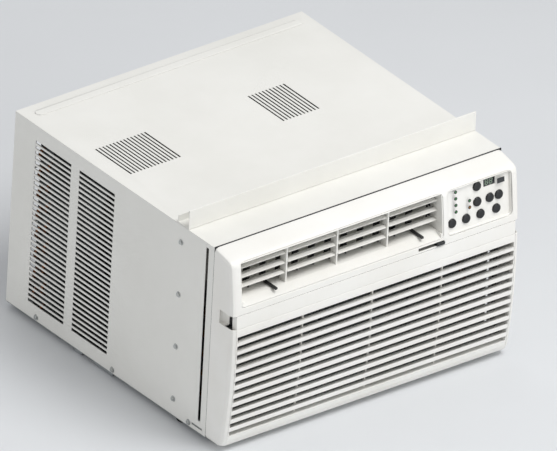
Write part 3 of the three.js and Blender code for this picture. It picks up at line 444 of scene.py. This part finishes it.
# Zinc-plated screws: bright with a faint yellow-blue cast.
ZINC_PLATE = surface(
    "zinc_plated_steel", "#C6C7C2", "#B8BBBD",
    roughness=0.28, cloud_mm=6, grain_mm=0.6, bump_mm=0.004, metallic=1.0,
)
# Rolled aluminium fin stock: pale metal with fine lines along the fin.
FIN_STOCK = surface(
    "rolled_aluminium_fins", "#C9CCCE", "#BBBFC1",
    roughness=0.36, cloud_mm=60, grain_mm=1.5, bump_mm=0.01, metallic=1.0, stretch=(1, 1, 0.06),
)
# Drawn copper tube with browner tarnish patches, its warm metal darkened all over as painted shade.
COPPER = surface(
    "drawn_copper_tube", "#96603F", "#6B432E",
    roughness=0.45, cloud_mm=22, grain_mm=1.2, bump_mm=0.006, metallic=1.0, spread=0.12,
)
# Black chassis enamel sprayed on pressed steel: motor and compressor, semi-gloss with slight peel.
BLACK_ENAMEL = surface(
    "black_chassis_enamel", "#16171A", "#1E2023",
    roughness=0.34, cloud_mm=70, grain_mm=2.4, bump_mm=0.03, ior=1.5, coat=0.2,
)
# Moulded rubber feet and grommet: matt black with a bloom.
RUBBER = surface(
    "moulded_rubber", "#17171A", "#26262A",
    roughness=0.78, cloud_mm=14, grain_mm=0.8, bump_mm=0.03, ior=1.52, spread=0.12,
)
# Expanded polystyrene: white beads about 4 mm across pressed together.
FOAM = surface(
    "expanded_polystyrene", "#EDECE6", "#E2E0D8",
    roughness=0.85, cloud_mm=60, grain_mm=4.0, bump_mm=0.25, cells="Distance", spread=0.05,
)
# Woven nylon net on a polypropylene frame: dark grey threads.
NET = surface(
    "woven_nylon_net", "#4A4F53", "#3C4145",
    roughness=0.6, cloud_mm=30, grain_mm=1.0, bump_mm=0.02, sheen=0.1,
)
# Epoxy glass circuit board under solder resist: a deep glossy green.
BOARD = surface(
    "solder_resist_board", "#1C5A37", "#174C2F",
    roughness=0.35, cloud_mm=18, grain_mm=2.2, bump_mm=0.02, coat=0.3,
)
# Soft black foam strips that paint the shade in the seam between panel and cabinet and in the joint above the
# grille.
SEAM_SHADE_FOAM = surface(
    "seam_shade_foam", "#2A2B2D", "#343537",
    roughness=0.9, cloud_mm=10, grain_mm=1.2, bump_mm=0.08,
)
# Smoked acrylic over the display: near black and glossy.
SMOKED_ACRYLIC = surface(
    "smoked_acrylic", "#0E1215", "#12171B",
    roughness=0.08, cloud_mm=40, grain_mm=3.0, bump_mm=0.001, ior=1.49, coat=0.6, spread=0.03,
)
# Segments of the display, unlit: a dull grey-green seen through the acrylic.
SEGMENT = surface(
    "display_segments", "#9DB59A", "#8FA88D",
    roughness=0.4, cloud_mm=8, grain_mm=0.8, bump_mm=0.002,
)
# Tinted lamp lenses, unlit: small glossy points of dull green and amber.
GREEN_LENS = surface(
    "green_lamp_lens", "#2E6B3A", "#285F33",
    roughness=0.12, cloud_mm=4, grain_mm=0.6, bump_mm=0.002, ior=1.49, coat=0.5,
)
AMBER_LENS = surface(
    "amber_lamp_lens", "#8A5A1C", "#7C5018",
    roughness=0.12, cloud_mm=4, grain_mm=0.6, bump_mm=0.002, ior=1.49, coat=0.5,
)
# Pale matt floor, not part of the unit: it takes the shadow.
FLOOR = surface(
    "pale_matt_floor", "#DFE1E3", "#DBDDDF",
    roughness=0.8, cloud_mm=900, grain_mm=40.0, bump_mm=0.01,
)

BODY_OF = {
    node: body for body, nodes in frame["record"]["behaviour"]["bodies"].items() for node in nodes
}

# Parts with many holes keep their triangles, because one face with many holes doesn't fill well.
PIERCED = [
    "cabinet_shell",
    "rear_guard",
    "intake_grille",
    "outlet_frame",
    "control_fascia",
    "fan_shroud",
    "bulkhead",
    "front_panel",
    "blower_housing",
]

# Parts rounded along their outer corners only: the slots in them are punched and stay sharp.
FOLDED = ["cabinet_shell"]

# ---- frame parts that keep their shape ---------------------------------------------------------

# Finish, edge radius in millimetres and nodes. A radius of 0 leaves a thin or round part as it is.
KEPT = [
    (POWDER_COAT, 0.6, ["cabinet_shell", "top_rail", "rear_guard"]),
    (WHITE_ABS, 0.8, ["front_panel"]),
    (WHITE_ABS, 0.6, ["intake_grille", "control_fascia"]),
    (OUTLET_ABS, 0.5, ["outlet_frame"]),
    (OUTLET_ABS, 0.0, [f"louvre_blade_{i}" for i in range(1, 4)]),
    (DARK_ABS, 0.3, ["louvre_link", "vane_link_left", "vane_link_right"]),
    (DARK_ABS, 0.3, ["vent_lever", "vent_door"]),
    (DARK_ABS, 0.15, [f"air_vane_{i}" for i in range(1, 12)]),
    (DARK_ABS, 0.2, ["blower_wheel", "condenser_fan"]),
    (SMOKED_ACRYLIC, 0.3, ["display_window"]),
    (GALVANISED, 0.4, ["base_pan"]),
    # Cabinet insides in zinc darkened with painted shade.
    (MATT_ZINC_PAINTED_SHADE, 0.4, ["control_box", "bulkhead", "motor_bracket", "fan_shroud"]),
    (ZINC_PLATE, 0.4, ["fan_shaft", "capacitor"]),
    (BLACK_ENAMEL, 0.8, ["fan_motor", "compressor", "accumulator"]),
    (RUBBER, 0.8, ["foot_front_left", "foot_front_right", "foot_rear_left", "foot_rear_right"]),
    (RUBBER, 0.8, ["cord_gland"]),
    # Pipes in copper darkened with painted shade.
    (COPPER, 0.0, ["suction_pipe", "discharge_pipe", "capillary_tube"]),
    (FOAM, 1.0, ["blower_housing"]),
    (BOARD, 0.2, ["circuit_board"]),
]
for finish, edge, nodes in KEPT:
    for node in nodes:
        carried(node, finish, BODY_OF[node], edge)

# ---- screws ------------------------------------------------------------------------------------

# Half sections of a hex washer-head screw, as (radius, height) above the sheet it holds.
SCREW_WASHER = [(0, -0.2), (5.2, -0.2), (5.4, 0.3), (4.9, 0.8), (3.7, 0.9), (0, 0.9)]
SCREW_HEX = [(0, 0.8), (3.7, 0.8), (3.7, 3.1), (3.1, 3.5), (1.9, 3.3), (0, 3.3)]

# First screw and step of each row, in millimetres.
SIDE_SCREW_Y, SIDE_SCREW_Z, SIDE_SCREW_STEP = -152, 42, 99.7
FOOT_SCREW_Y, FOOT_SCREW_Z, FOOT_SCREW_STEP = -195, 18, 206.5
RAIL_SCREWS, RAIL_SCREW_INSET, RAIL_SCREW_BACK, RAIL_SHEET = 4, 30, 10, 1.6
GUARD_SCREWS, GUARD_SCREW_INSET, GUARD_SCREW_SINK = 3, 6, 0.1


def screw_mesh(name, outward):
    """A hex washer-head screw about the origin, its head towards the outward direction."""
    mesh = turned_mesh(name, SCREW_WASHER, 24)
    head = turned_mesh(name + "_head", SCREW_HEX, 6)
    shape = bmesh.new()
    shape.from_mesh(mesh)
    shape.from_mesh(head)
    turn = Vector((0, 0, 1)).rotation_difference(Vector(outward)).to_matrix().to_4x4()
    bmesh.ops.transform(shape, matrix=turn, verts=shape.verts)
    shape.to_mesh(mesh)
    shape.free()
    bpy.data.meshes.remove(head)
    smooth_by_angle(mesh, 40)
    return mesh


def screws(name, start, outward, count, step, row_count=1, row_step=(0, 0, 0)):
    """Screws in rows, the first one at the start."""
    mesh = screw_mesh(name, outward)
    mesh.transform(Matrix.Translation(Vector(start) * MM))
    return rows(name, mesh, ZINC_PLATE, "root", count, step, row_count, row_step)


def mm_box(node):
    """The two corners of a frame node's box, in millimetres."""
    low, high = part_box(node)
    return low / MM, high / MM


cab_low, cab_high = mm_box("cabinet_shell")
for side, x, out in (("left", cab_low.x, -1), ("right", cab_high.x, 1)):
    screws(
        f"{side}_side_screws",
        (x, SIDE_SCREW_Y, SIDE_SCREW_Z),
        (out, 0, 0),
        4,
        (0, 0, SIDE_SCREW_STEP),
    )
    screws(
        f"{side}_foot_screws",
        (x, FOOT_SCREW_Y, FOOT_SCREW_Z),
        (out, 0, 0),
        3,
        (0, FOOT_SCREW_STEP, 0),
    )

rail_low, rail_high = mm_box("top_rail")
guard_low, guard_high = mm_box("rear_guard")
rail_span = rail_high.x - rail_low.x - 2 * RAIL_SCREW_INSET
guard_span_x = guard_high.x - guard_low.x - 2 * GUARD_SCREW_INSET
guard_span_z = guard_high.z - guard_low.z - 2 * GUARD_SCREW_INSET
screws(
    "sash_rail_screws",
    (rail_low.x + RAIL_SCREW_INSET, rail_high.y - RAIL_SCREW_BACK, cab_high.z + RAIL_SHEET),
    (0, 0, 1),
    RAIL_SCREWS,
    (rail_span / (RAIL_SCREWS - 1), 0, 0),
)
screws(
    "rear_guard_screws",
    (
        guard_low.x + GUARD_SCREW_INSET,
        guard_high.y - GUARD_SCREW_SINK,
        guard_low.z + GUARD_SCREW_INSET,
    ),
    (0, 1, 0),
    GUARD_SCREWS,
    (guard_span_x / (GUARD_SCREWS - 1), 0, 0),
    2,
    (0, 0, guard_span_z),
)

# ---- coils: fins, end plates and hairpin bends -------------------------------------------------

# All in millimetres.
FIN_HALF = 0.1
FIN_FOLDS = 4
FIN_FOLD_DEPTH = 0.5
FIN_INSET = 0.5  # the fins stop this far inside the faces of the CAD block
END_ROOM = 13.5  # from the end of the CAD block to the fins
PLATE_THICK = 1.2
FIRST_PLATE, SECOND_PLATE = -2.2, 0.8  # where each end plate starts, from the end of the fins
TUBE_ROWS = 2
TUBE_PITCH = 19.0
TUBE_RADIUS = 3.6
FIRST_TUBE, TUBE_MARGIN, LAST_TUBE = 12, 20, 5  # room left under, in all, and over the tubes
HAIRPIN_REACH = 0.4


def fin_mesh(name, x, low_y, high_y, low_z, high_z):
    """One fin with shallow folds along it, a thin closed sheet."""

    def fill(shape):
        columns = []
        for i in range(FIN_FOLDS + 1):
            y = low_y + (high_y - low_y) * i / FIN_FOLDS
            lean = FIN_FOLD_DEPTH * (i % 2)
            columns.append(
                [
                    [
                        shape.verts.new(Vector((x + lean + face * FIN_HALF, y, z)) * MM)
                        for z in (low_z, high_z)
                    ]
                    for face in (-1, 1)
                ]
            )
        for first, second in zip(columns, columns[1:]):
            for k in (0, 1):
                shape.faces.new((first[k][0], first[k][1], second[k][1], second[k][0]))
            for k in (0, 1):
                shape.faces.new((first[0][k], first[1][k], second[1][k], second[0][k]))
        for column in (columns[0], columns[-1]):
            shape.faces.new((column[0][0], column[0][1], column[1][1], column[1][0]))

    return mesh_from(name, fill)


def hairpin_path(x, y, z, out, steps=8):
    """A bend that leaves the coil's end, turns and comes back one tube pitch higher."""
    radius = TUBE_PITCH / 2
    turn = [math.pi * i / steps for i in range(steps + 1)]
    bend = [
        (
            x + out * (HAIRPIN_REACH + radius * math.sin(a)),
            y,
            z + radius - radius * math.cos(a),
        )
        for a in turn
    ]
    return [(x, y, z), *bend, (x, y, z + TUBE_PITCH)]


def coil(node, fin_pitch):
    """Fins, two end plates and the copper bends of a heat exchanger, in its CAD block's space."""
    low, high = mm_box(node)
    fins_from, fins_to = low.x + END_ROOM, high.x - END_ROOM
    count = int((fins_to - fins_from) / fin_pitch)
    mesh = fin_mesh(
        node + "_fin",
        fins_from,
        low.y + FIN_INSET,
        high.y - FIN_INSET,
        low.z + FIN_INSET,
        high.z - FIN_INSET,
    )
    fins = rows(node + "_fins", mesh, FIN_STOCK, "root", count, (fin_pitch, 0, 0))
    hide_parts(node)

    def plates(shape):
        for x in (fins_from + FIRST_PLATE, fins_to + SECOND_PLATE):
            box_into(shape, (x, low.y, low.z), (x + PLATE_THICK, high.y, high.z))

    # The end plates take the zinc darkened with painted shade.
    ends = new_piece(node + "_end_plates", mesh_from(node + "_end_plates", plates), MATT_ZINC_PAINTED_SHADE)
    rounded(ends, 0.3)
    set_on(ends, "root")
    pair = 2 * TUBE_PITCH
    pairs = int((high.z - low.z - TUBE_MARGIN) / pair)
    tube_rows = [low.y + (high.y - low.y) * (k + 0.5) / TUBE_ROWS for k in range(TUBE_ROWS)]
    coil_ends = (
        (fins_from + FIRST_PLATE, -1, 0),
        (fins_to + SECOND_PLATE + PLATE_THICK, 1, TUBE_PITCH),
    )

    def bends(shape):
        for x, out, shift in coil_ends:
            for k, y in enumerate(tube_rows):
                for i in range(pairs):
                    z = low.z + FIRST_TUBE + i * pair + (shift + k * TUBE_PITCH) % pair
                    if z + TUBE_PITCH < high.z - LAST_TUBE:
                        tube_into(shape, hairpin_path(x, y, z, out), TUBE_RADIUS)

    # Hairpins in copper darkened with painted shade.
    pins = new_piece(node + "_hairpins", mesh_from(node + "_hairpins", bends), COPPER)
    smooth_by_angle(pins.data, 60)
    set_on(pins, "root")


coil("condenser_coil", 1.9)
coil("evaporator_coil", 1.7)

# ---- filter ------------------------------------------------------------------------------------

# All in millimetres.
RIM = 7.0
RIB_HALF, CROSS_RIB_HALF, PULL_HALF = 2, 1.5, 14
FRAME_SINK = 0.2
NET_MESH = 3.2
THREAD_RADIUS = 0.28
THREAD_APART = 0.25  # how far warp and weft lie to each side of the net's middle
THREAD_LAP = 1  # how far a thread runs into the rim, and how far the first one is from it
net_low, net_high = mm_box("air_filter")


def filter_frame(shape):
    """A rim, two upright ribs, one rib across and a pull tab at the top."""
    middle_x = (net_low.x + net_high.x) / 2
    middle_z = (net_low.z + net_high.z) / 2
    third = (net_high.x - net_low.x) / 3
    spans = [
        ((net_low.x, net_low.z), (net_high.x, net_low.z + RIM)),
        ((net_low.x, net_high.z - RIM), (net_high.x, net_high.z)),
        ((net_low.x, net_low.z + RIM), (net_low.x + RIM, net_high.z - RIM)),
        ((net_high.x - RIM, net_low.z + RIM), (net_high.x, net_high.z - RIM)),
    ]
    for x in (net_low.x + third, net_high.x - third):
        spans.append(((x - RIB_HALF, net_low.z + RIM), (x + RIB_HALF, net_high.z - RIM)))
    spans.append(
        (
            (net_low.x + RIM, middle_z - CROSS_RIB_HALF),
            (net_high.x - RIM, middle_z + CROSS_RIB_HALF),
        )
    )
    front, back = net_low.y + FRAME_SINK, net_high.y - FRAME_SINK
    for (x0, z0), (x1, z1) in spans:
        box_into(shape, (x0, front, z0), (x1, back, z1))
    box_into(
        shape,
        (middle_x - PULL_HALF, front, net_high.z - RIM),
        (middle_x + PULL_HALF, net_high.y, net_high.z),
    )


filter_rim = new_piece("air_filter_frame", mesh_from("air_filter_frame", filter_frame), DARK_ABS)
rounded(filter_rim, 0.4)
set_on(filter_rim, "grille", "air_filter")


def net_threads(name, start, end, count, step):
    """Square-section threads of the net, the first one from start to end."""
    mesh = mesh_from(name, lambda shape: tube_into(shape, [start, end], THREAD_RADIUS, 4))
    return rows(name, mesh, NET, "grille", count, step)


net_y = (net_low.y + net_high.y) / 2
net_x0, net_x1 = net_low.x + RIM, net_high.x - RIM
net_z0, net_z1 = net_low.z + RIM, net_high.z - RIM
net_threads(
    "filter_net_warp",
    (net_x0 + THREAD_LAP, net_y - THREAD_APART, net_z0 - THREAD_LAP),
    (net_x0 + THREAD_LAP, net_y - THREAD_APART, net_z1 + THREAD_LAP),
    int((net_x1 - net_x0) / NET_MESH),
    (NET_MESH, 0, 0),
)
net_threads(
    "filter_net_weft",
    (net_x0 - THREAD_LAP, net_y + THREAD_APART, net_z0 + THREAD_LAP),
    (net_x1 + THREAD_LAP, net_y + THREAD_APART, net_z0 + THREAD_LAP),
    int((net_z1 - net_z0) / NET_MESH),
    (0, 0, NET_MESH),
)

# ---- control panel: buttons, lamps, display ----------------------------------------------------

press = next(j for j in frame["joints"] if j["name"] == "mode_button_press")
INWARD = Vector(press["axis"]).normalized()
OUTWARD = -INWARD
UP_FACE = Vector((0, -INWARD.z, INWARD.y)).normalized()
TO_FACE = Matrix(((1, 0, 0), tuple(UP_FACE), tuple(OUTWARD))).transposed().to_4x4()

# Places on the fascia, across and up from its middle, in millimetres.
LAMPS = [(-49, 34.5), (-49, 22.5), (-49, 10.5), (-49, -1.5), (-20.5, 10.5), (-20.5, -1.5)]
AMBER_LAMP = 6
REMOTE_EYE = (45.3, 28.6)

# Half sections of a lamp's ring and lens, as (radius, height) above the fascia.
LAMP_RING = [(0, -0.2), (3.1, -0.2), (3.1, 0.35), (2.8, 0.6), (2.3, 0.6), (2.1, 0.25), (0, 0.25)]
LAMP_LENS = [(0, 0.1), (2.0, 0.1), (2.0, 0.45), (1.6, 0.85), (0.9, 1.1), (0, 1.18)]


def face_point(node, across, up):
    """A point on a tilted flat part's front face, from its middle, in millimetres."""
    low, high = mm_box(node)
    tilted = (high.z - low.z) / UP_FACE.z
    thickness = abs((high.y - low.y - tilted * UP_FACE.y) / OUTWARD.y)
    rise = abs(OUTWARD.z) * thickness
    length = (high.z - low.z - rise) / UP_FACE.z
    bottom = Vector(((low.x + high.x) / 2, low.y, low.z + rise))
    return bottom + UP_FACE * (length / 2 + up) + Vector((across, 0, 0))


def on_face(mesh, point):
    """Turns a mesh drawn about Z to face out of the panel, at a point in millimetres."""
    mesh.transform(Matrix.Translation(point * MM) @ TO_FACE)
    return mesh


def cap_profile(radius, half):
    """Half section of a button cap: a straight skirt, a rounded shoulder and a dished top."""
    return [
        (0, -half),
        (radius - 0.3, -half),
        (radius, -half + 0.3),
        (radius, half - 1.3),
        (radius - 0.25, half - 0.55),
        (radius - 0.9, half - 0.1),
        (radius - 1.8, half),
        (radius - 2.6, half - 0.05),
        (radius - 4.5, half - 0.4),
        (0, half - 0.6),
    ]


for node in [name for name in frame["nodes"] if name.endswith("_button")]:
    low, high = mm_box(node)
    radius = (high.x - low.x) / 2
    depth = (high.y - low.y - 2 * radius * abs(UP_FACE.y)) / abs(OUTWARD.y)
    cap = on_face(turned_mesh(node + "_cap", cap_profile(radius, depth / 2), 48), (low + high) / 2)
    smooth_by_angle(cap, 40)
    piece = new_piece(node + "_cap", cap, BUTTON_RUBBER)
    set_on(piece, BODY_OF[node], node)

for number, (across, up) in enumerate(LAMPS, 1):
    at = face_point("control_fascia", across, up)
    glass = AMBER_LENS if number == AMBER_LAMP else GREEN_LENS
    for title, profile, finish, slot in (
        ("lamp_ring", LAMP_RING, DARK_ABS, "dark_plastic"),
        ("lamp_lens", LAMP_LENS, glass, "display"),
    ):
        mesh = on_face(turned_mesh(title, profile), at)
        smooth_by_angle(mesh, 40)
        set_on(new_piece(f"{title}_{number}", mesh, finish), "root")


def segments(shape):
    """Two seven-segment figures on the display window."""
    half_w, half_h, thick, slant = 2.6, 4.6, 0.95, 0.12
    across_gap, upright_gap = 0.7, 0.65
    bottom, top = 0.02, 0.16
    for centre in (-5.2, 3.6):
        bars = [((0, v), True) for v in (-half_h, 0, half_h)]
        bars += [((u, v), False) for u in (-half_w, half_w) for v in (-half_h / 2, half_h / 2)]
        for (u, v), lying in bars:
            half_u = half_w - across_gap if lying else thick / 2
            half_v = thick / 2 if lying else half_h / 2 - upright_gap
            made = box_into(shape, (-half_u, -half_v, bottom), (half_u, half_v, top))
            for vert in made:
                vert.co += Vector((u + centre + slant * (v + vert.co.y / MM), v, 0)) * MM


figures = on_face(mesh_from("display_segments", segments), face_point("display_window", 0, 0))
set_on(new_piece("display_segments", figures, SEGMENT), "root")


def remote_eye(shape):
    """A small window over the receiver of the remote control."""
    box_into(shape, (-7.6, -4.6, -0.1), (7.6, 4.6, 0.9))


eye = new_piece("remote_eye", mesh_from("remote_eye", remote_eye), SMOKED_ACRYLIC)
rounded(eye, 0.5, 3)
on_face(eye.data, face_point("control_fascia", *REMOTE_EYE))
set_on(eye, "root")

# ---- pockets behind the finger notches ---------------------------------------------------------

# All in millimetres, with the notch's heights and its back as the CAD has them.
NOTCH_LOW, NOTCH_HIGH = 240.4, 265.4
NOTCH_BACK = -261.5
POCKET_WALL = 1.2
POCKET_ROOM = 0.5
POCKET_LAP = 0.6
POCKET_STEPS = 8
POCKET_CURVE = 0.8  # share of the depth that is curved
GRILLE_LAP, PANEL_LAP, GRILLE_BEHIND = 3.0, 2.6, 1.0
grille_low, grille_high = mm_box("intake_grille")
panel_low, panel_high = mm_box("front_panel")


def notch_pocket(side):
    """A moulded cup that closes a finger notch from inside: a curved back, a roof and a floor."""
    inner, outer = grille_high.x - GRILLE_LAP, panel_high.x - PANEL_LAP
    front, back = grille_high.y + GRILLE_BEHIND, NOTCH_BACK + POCKET_LAP
    reach_x, reach_y = outer - inner, (back - front) * POCKET_CURVE
    curve = [(inner, front)]
    for i in range(POCKET_STEPS + 1):
        turn = math.pi / 2 * i / POCKET_STEPS
        x = inner + reach_x * (1 - math.cos(turn))
        curve.append((x, back - reach_y * (1 - math.sin(turn))))

    def fill(shape):
        low, high = NOTCH_LOW - POCKET_ROOM, NOTCH_HIGH + POCKET_ROOM
        for (xa, ya), (xb, yb) in zip(curve, curve[1:]):
            run = Vector((xb - xa, yb - ya)).normalized()
            off = Vector((run.y, -run.x)) * -POCKET_WALL
            corners = [(xa, ya), (xb, yb), (xb + off.x, yb + off.y), (xa + off.x, ya + off.y)]
            lower = [shape.verts.new(Vector((side * x, y, low)) * MM) for x, y in corners]
            upper = [shape.verts.new(Vector((side * x, y, high)) * MM) for x, y in corners]
            shape.faces.new(lower[::-1])
            shape.faces.new(upper)
            for i in range(4):
                k = (i + 1) % 4
                shape.faces.new((lower[i], lower[k], upper[k], upper[i]))
        for z0, z1 in ((low - POCKET_WALL, low), (high, high + POCKET_WALL)):
            a, b = sorted((side * inner, side * outer))
            box_into(shape, (a, front, z0), (b, back, z1))

    return mesh_from("notch_pocket", fill)


for side, title in ((-1, "left"), (1, "right")):
    pocket = new_piece(f"notch_pocket_{title}", notch_pocket(side), WHITE_ABS)
    smooth_by_angle(pocket.data, 30)
    set_on(pocket, "root")

# ---- lips of the pressed vent slots ------------------------------------------------------------

# Slots in the cabinet's sides as the CAD has them: heights, and front and back of each block.
VENT_PITCH = 9.706
VENT_ROWS = 32
VENT_SLOT = 6.0
VENT_TOP = 345.0
VENT_BLOCKS = [(146.5, 242.5), (28.5, 124.5)]

# The lip's bend as (depth, rise) from the inside of the sheet.
LIP_BEND = [(0.2, 0.0), (0.9, -0.12), (1.5, -0.5), (1.9, -1.1), (2.1, -1.9)]
LIP_THICK = 0.9
LIP_SHEET = 1.3
LIP_DROP = 0.2
LIP_INSET = 2


def lip_mesh(name, x, into, front, back, z):
    """A rolled lip along a slot's lower edge, turned inwards and down, a thin bent sheet."""

    def fill(shape):
        rings = []
        for depth, rise in LIP_BEND:
            at_x, at_z = x + into * (LIP_SHEET + depth), z - LIP_DROP + rise
            rings.append(
                [
                    shape.verts.new(Vector((at_x, y, at_z + t)) * MM)
                    for t in (-LIP_THICK, 0)
                    for y in (front, back)
                ]
            )
        for a, b in zip(rings, rings[1:]):
            for i, k in ((0, 1), (1, 3), (3, 2), (2, 0)):
                shape.faces.new((a[i], a[k], b[k], b[i]))
        for ring in (rings[0], rings[-1]):
            shape.faces.new((ring[0], ring[1], ring[3], ring[2]))

    mesh = mesh_from(name, fill)
    smooth_by_angle(mesh, 40)
    return mesh


lowest_slot = VENT_TOP - VENT_SLOT - (VENT_ROWS - 1) * VENT_PITCH
for side, x, into in (("left", cab_low.x, 1), ("right", cab_high.x, -1)):
    for number, (front, back) in enumerate(VENT_BLOCKS, 1):
        mesh = lip_mesh("slot_lip", x, into, front + LIP_INSET, back - LIP_INSET, lowest_slot)
        rows(
            f"{side}_vent_lips_{number}",
            mesh,
            POWDER_COAT,
            "root",
            VENT_ROWS,
            (0, 0, VENT_PITCH),
        )

# ---- dark foam strip that paints the shade in the seam between cabinet and front panel ---------

SEAM_SHADE_WIDE = 1.5
SEAM_SHADE_DEEP = 3.0
SEAM_SHADE_SINK = 0.35
SEAM_SHADE_AHEAD = 0.2
SEAM_SHADE_FROM_BOTTOM = 4


def seam_shade_strip(shape):
    """Up one side, across under the top and down the other side, just inside the seam."""
    middle = cab_low.y - SEAM_SHADE_AHEAD
    y0, y1 = middle - SEAM_SHADE_WIDE / 2, middle + SEAM_SHADE_WIDE / 2
    outer_x, top = cab_high.x - SEAM_SHADE_SINK, cab_high.z - SEAM_SHADE_SINK
    bottom = cab_low.z + SEAM_SHADE_FROM_BOTTOM
    for x0, x1, z0, z1 in (
        (-outer_x, -outer_x + SEAM_SHADE_DEEP, bottom, top),
        (outer_x - SEAM_SHADE_DEEP, outer_x, bottom, top),
        (-outer_x + SEAM_SHADE_DEEP, outer_x - SEAM_SHADE_DEEP, top - SEAM_SHADE_DEEP, top),
    ):
        box_into(shape, (x0, y0, z0), (x1, y1, z1))


seam_shade = new_piece("panel_seam_shade", mesh_from("panel_seam_shade", seam_shade_strip), SEAM_SHADE_FOAM)
rounded(seam_shade, 0.3)
set_on(seam_shade, "root")

# ---- dark strip that paints the shade at the bottom of the joint above the grille --------------

FACE_RADIUS = 1117.71  # of the panel's bowed front, in millimetres
FACE_MIDDLE_Z = (panel_low.z + panel_high.z) / 2
JOINT_SHADE_SINK = 0.75
JOINT_SHADE_DEEP = 1.6
JOINT_SHADE_WIDE = 0.7
JOINT_SHADE_ABOVE = 0.2


def face_y(z):
    """The curved front of the panel at a height."""
    return panel_low.y + FACE_RADIUS - math.sqrt(FACE_RADIUS**2 - (z - FACE_MIDDLE_Z) ** 2)


def grille_joint_shade(shape):
    """One dark strip along the grille's top edge, painted shade in the joint."""
    top = grille_high.z + JOINT_SHADE_ABOVE
    front = face_y(top) + JOINT_SHADE_SINK
    box_into(
        shape,
        (grille_low.x, front, top - JOINT_SHADE_WIDE / 2),
        (grille_high.x, front + JOINT_SHADE_DEEP, top + JOINT_SHADE_WIDE / 2),
    )


joint_shade = new_piece("grille_joint_shade", mesh_from("grille_joint_shade", grille_joint_shade), SEAM_SHADE_FOAM)
rounded(joint_shade, 0.15)
set_on(joint_shade, "root")

# ---- weld bands round the compressor -----------------------------------------------------------

BAND_SHARES = (0.34, 0.72)  # heights of the bands, as shares of the can's height
BAND_HALF = 3.0
BAND_PROUD = 1.4
BAND_SINK = 1.0
BAND_STEPS = 48
can_low, can_high = mm_box("compressor")
can_middle = (can_low + can_high) / 2
can_radius = min(can_high.x - can_low.x, can_high.y - can_low.y) / 2


def weld_band(shape, height):
    """A closed band round the upright can, with its inner edge sunk into it."""
    turn = [2 * math.pi * i / BAND_STEPS for i in range(BAND_STEPS)]
    profile = [
        (can_radius - BAND_SINK, -BAND_HALF),
        (can_radius + BAND_PROUD, -BAND_HALF * 0.6),
        (can_radius + BAND_PROUD, BAND_HALF * 0.6),
        (can_radius - BAND_SINK, BAND_HALF),
    ]
    centre = Vector((can_middle.x, can_middle.y, height))
    rings = [
        [
            shape.verts.new((centre + Vector((r * math.cos(a), r * math.sin(a), h))) * MM)
            for a in turn
        ]
        for r, h in profile
    ]
    for i in range(BAND_STEPS):
        k = (i + 1) % BAND_STEPS
        for n in range(4):
            m = (n + 1) % 4
            shape.faces.new((rings[n][i], rings[n][k], rings[m][k], rings[m][i]))


def compressor_bands(shape):
    for share in BAND_SHARES:
        weld_band(shape, can_low.z + (can_high.z - can_low.z) * share)


bands_mesh = mesh_from("compressor_weld_bands", compressor_bands)
smooth_by_angle(bands_mesh, 40)
set_on(new_piece("compressor_weld_bands", bands_mesh, BLACK_ENAMEL), "root")

# ---- floor, light and camera -------------------------------------------------------------------

# In metres from here on, and watts.
FLOOR_HALF = 12
LIGHT_AIM = (0.03, 0.0, 0.2)
LIGHTS = [
    ("key_softbox", (0.7, -1.6, 3.4), 2.0, 78),
    ("side_fill", (-3.0, 0.2, 1.4), 2.4, 13),
    ("front_fill", (0.9, -3.2, 1.2), 2.2, 20),
    ("back_fill", (0.8, 3.0, 2.4), 2.4, 12),
]
SKY_STRENGTH = 0.5

AZIMUTH = math.radians(-39.13)
ELEVATION = math.radians(30.0)
LEAN = math.radians(2.95)
VIEW_WIDTH = 0.922
CAMERA_AWAY = 3.0
AIM = Vector((0.033, 0.005, 0.191))


def floor_mesh(shape):
    corners = [(-1, -1), (1, -1), (1, 1), (-1, 1)]
    shape.faces.new([shape.verts.new(Vector((x, y, 0)) * FLOOR_HALF) for x, y in corners])


floor = new_piece("floor", mesh_from("floor", floor_mesh), FLOOR)


def soft_light(name, place, size, power):
    """A round soft light turned towards the object."""
    lamp = bpy.data.lights.new(name, "AREA")
    lamp.shape = "DISK"
    lamp.size = size
    lamp.energy = power
    made = bpy.data.objects.new(name, lamp)
    made.location = place
    made.rotation_euler = (Vector(LIGHT_AIM) - Vector(place)).to_track_quat("-Z", "Y").to_euler()
    bpy.context.scene.collection.objects.link(made)


for light in LIGHTS:
    soft_light(*light)

world = bpy.data.worlds.new("studio")
bpy.context.scene.world = world
world.use_nodes = True
world.node_tree.nodes.clear()
sky = add(
    world.node_tree,
    "ShaderNodeBackground",
    {"Color": linear("#F3F4F6"), "Strength": SKY_STRENGTH},
)
add(world.node_tree, "ShaderNodeOutputWorld", {"Surface": sky.outputs["Background"]})

back = Vector(
    (
        math.sin(AZIMUTH) * math.cos(ELEVATION),
        -math.cos(AZIMUTH) * math.cos(ELEVATION),
        math.sin(ELEVATION),
    )
)
level_right = Vector((0, 0, 1)).cross(back).normalized()
level_up = back.cross(level_right)
right = level_right * math.cos(LEAN) + level_up * math.sin(LEAN)
up = level_up * math.cos(LEAN) - level_right * math.sin(LEAN)
lens = bpy.data.cameras.new("camera")
lens.type = "ORTHO"
lens.ortho_scale = VIEW_WIDTH
camera = bpy.data.objects.new("camera", lens)
camera.matrix_world = (
    Matrix.Translation(AIM + back * CAMERA_AWAY)
    @ Matrix((right, up, back)).transposed().to_4x4()
)
bpy.context.scene.collection.objects.link(camera)
bpy.context.scene.camera = camera
bpy.context.scene.view_settings.view_transform = "Standard"

bpy.context.view_layer.update()
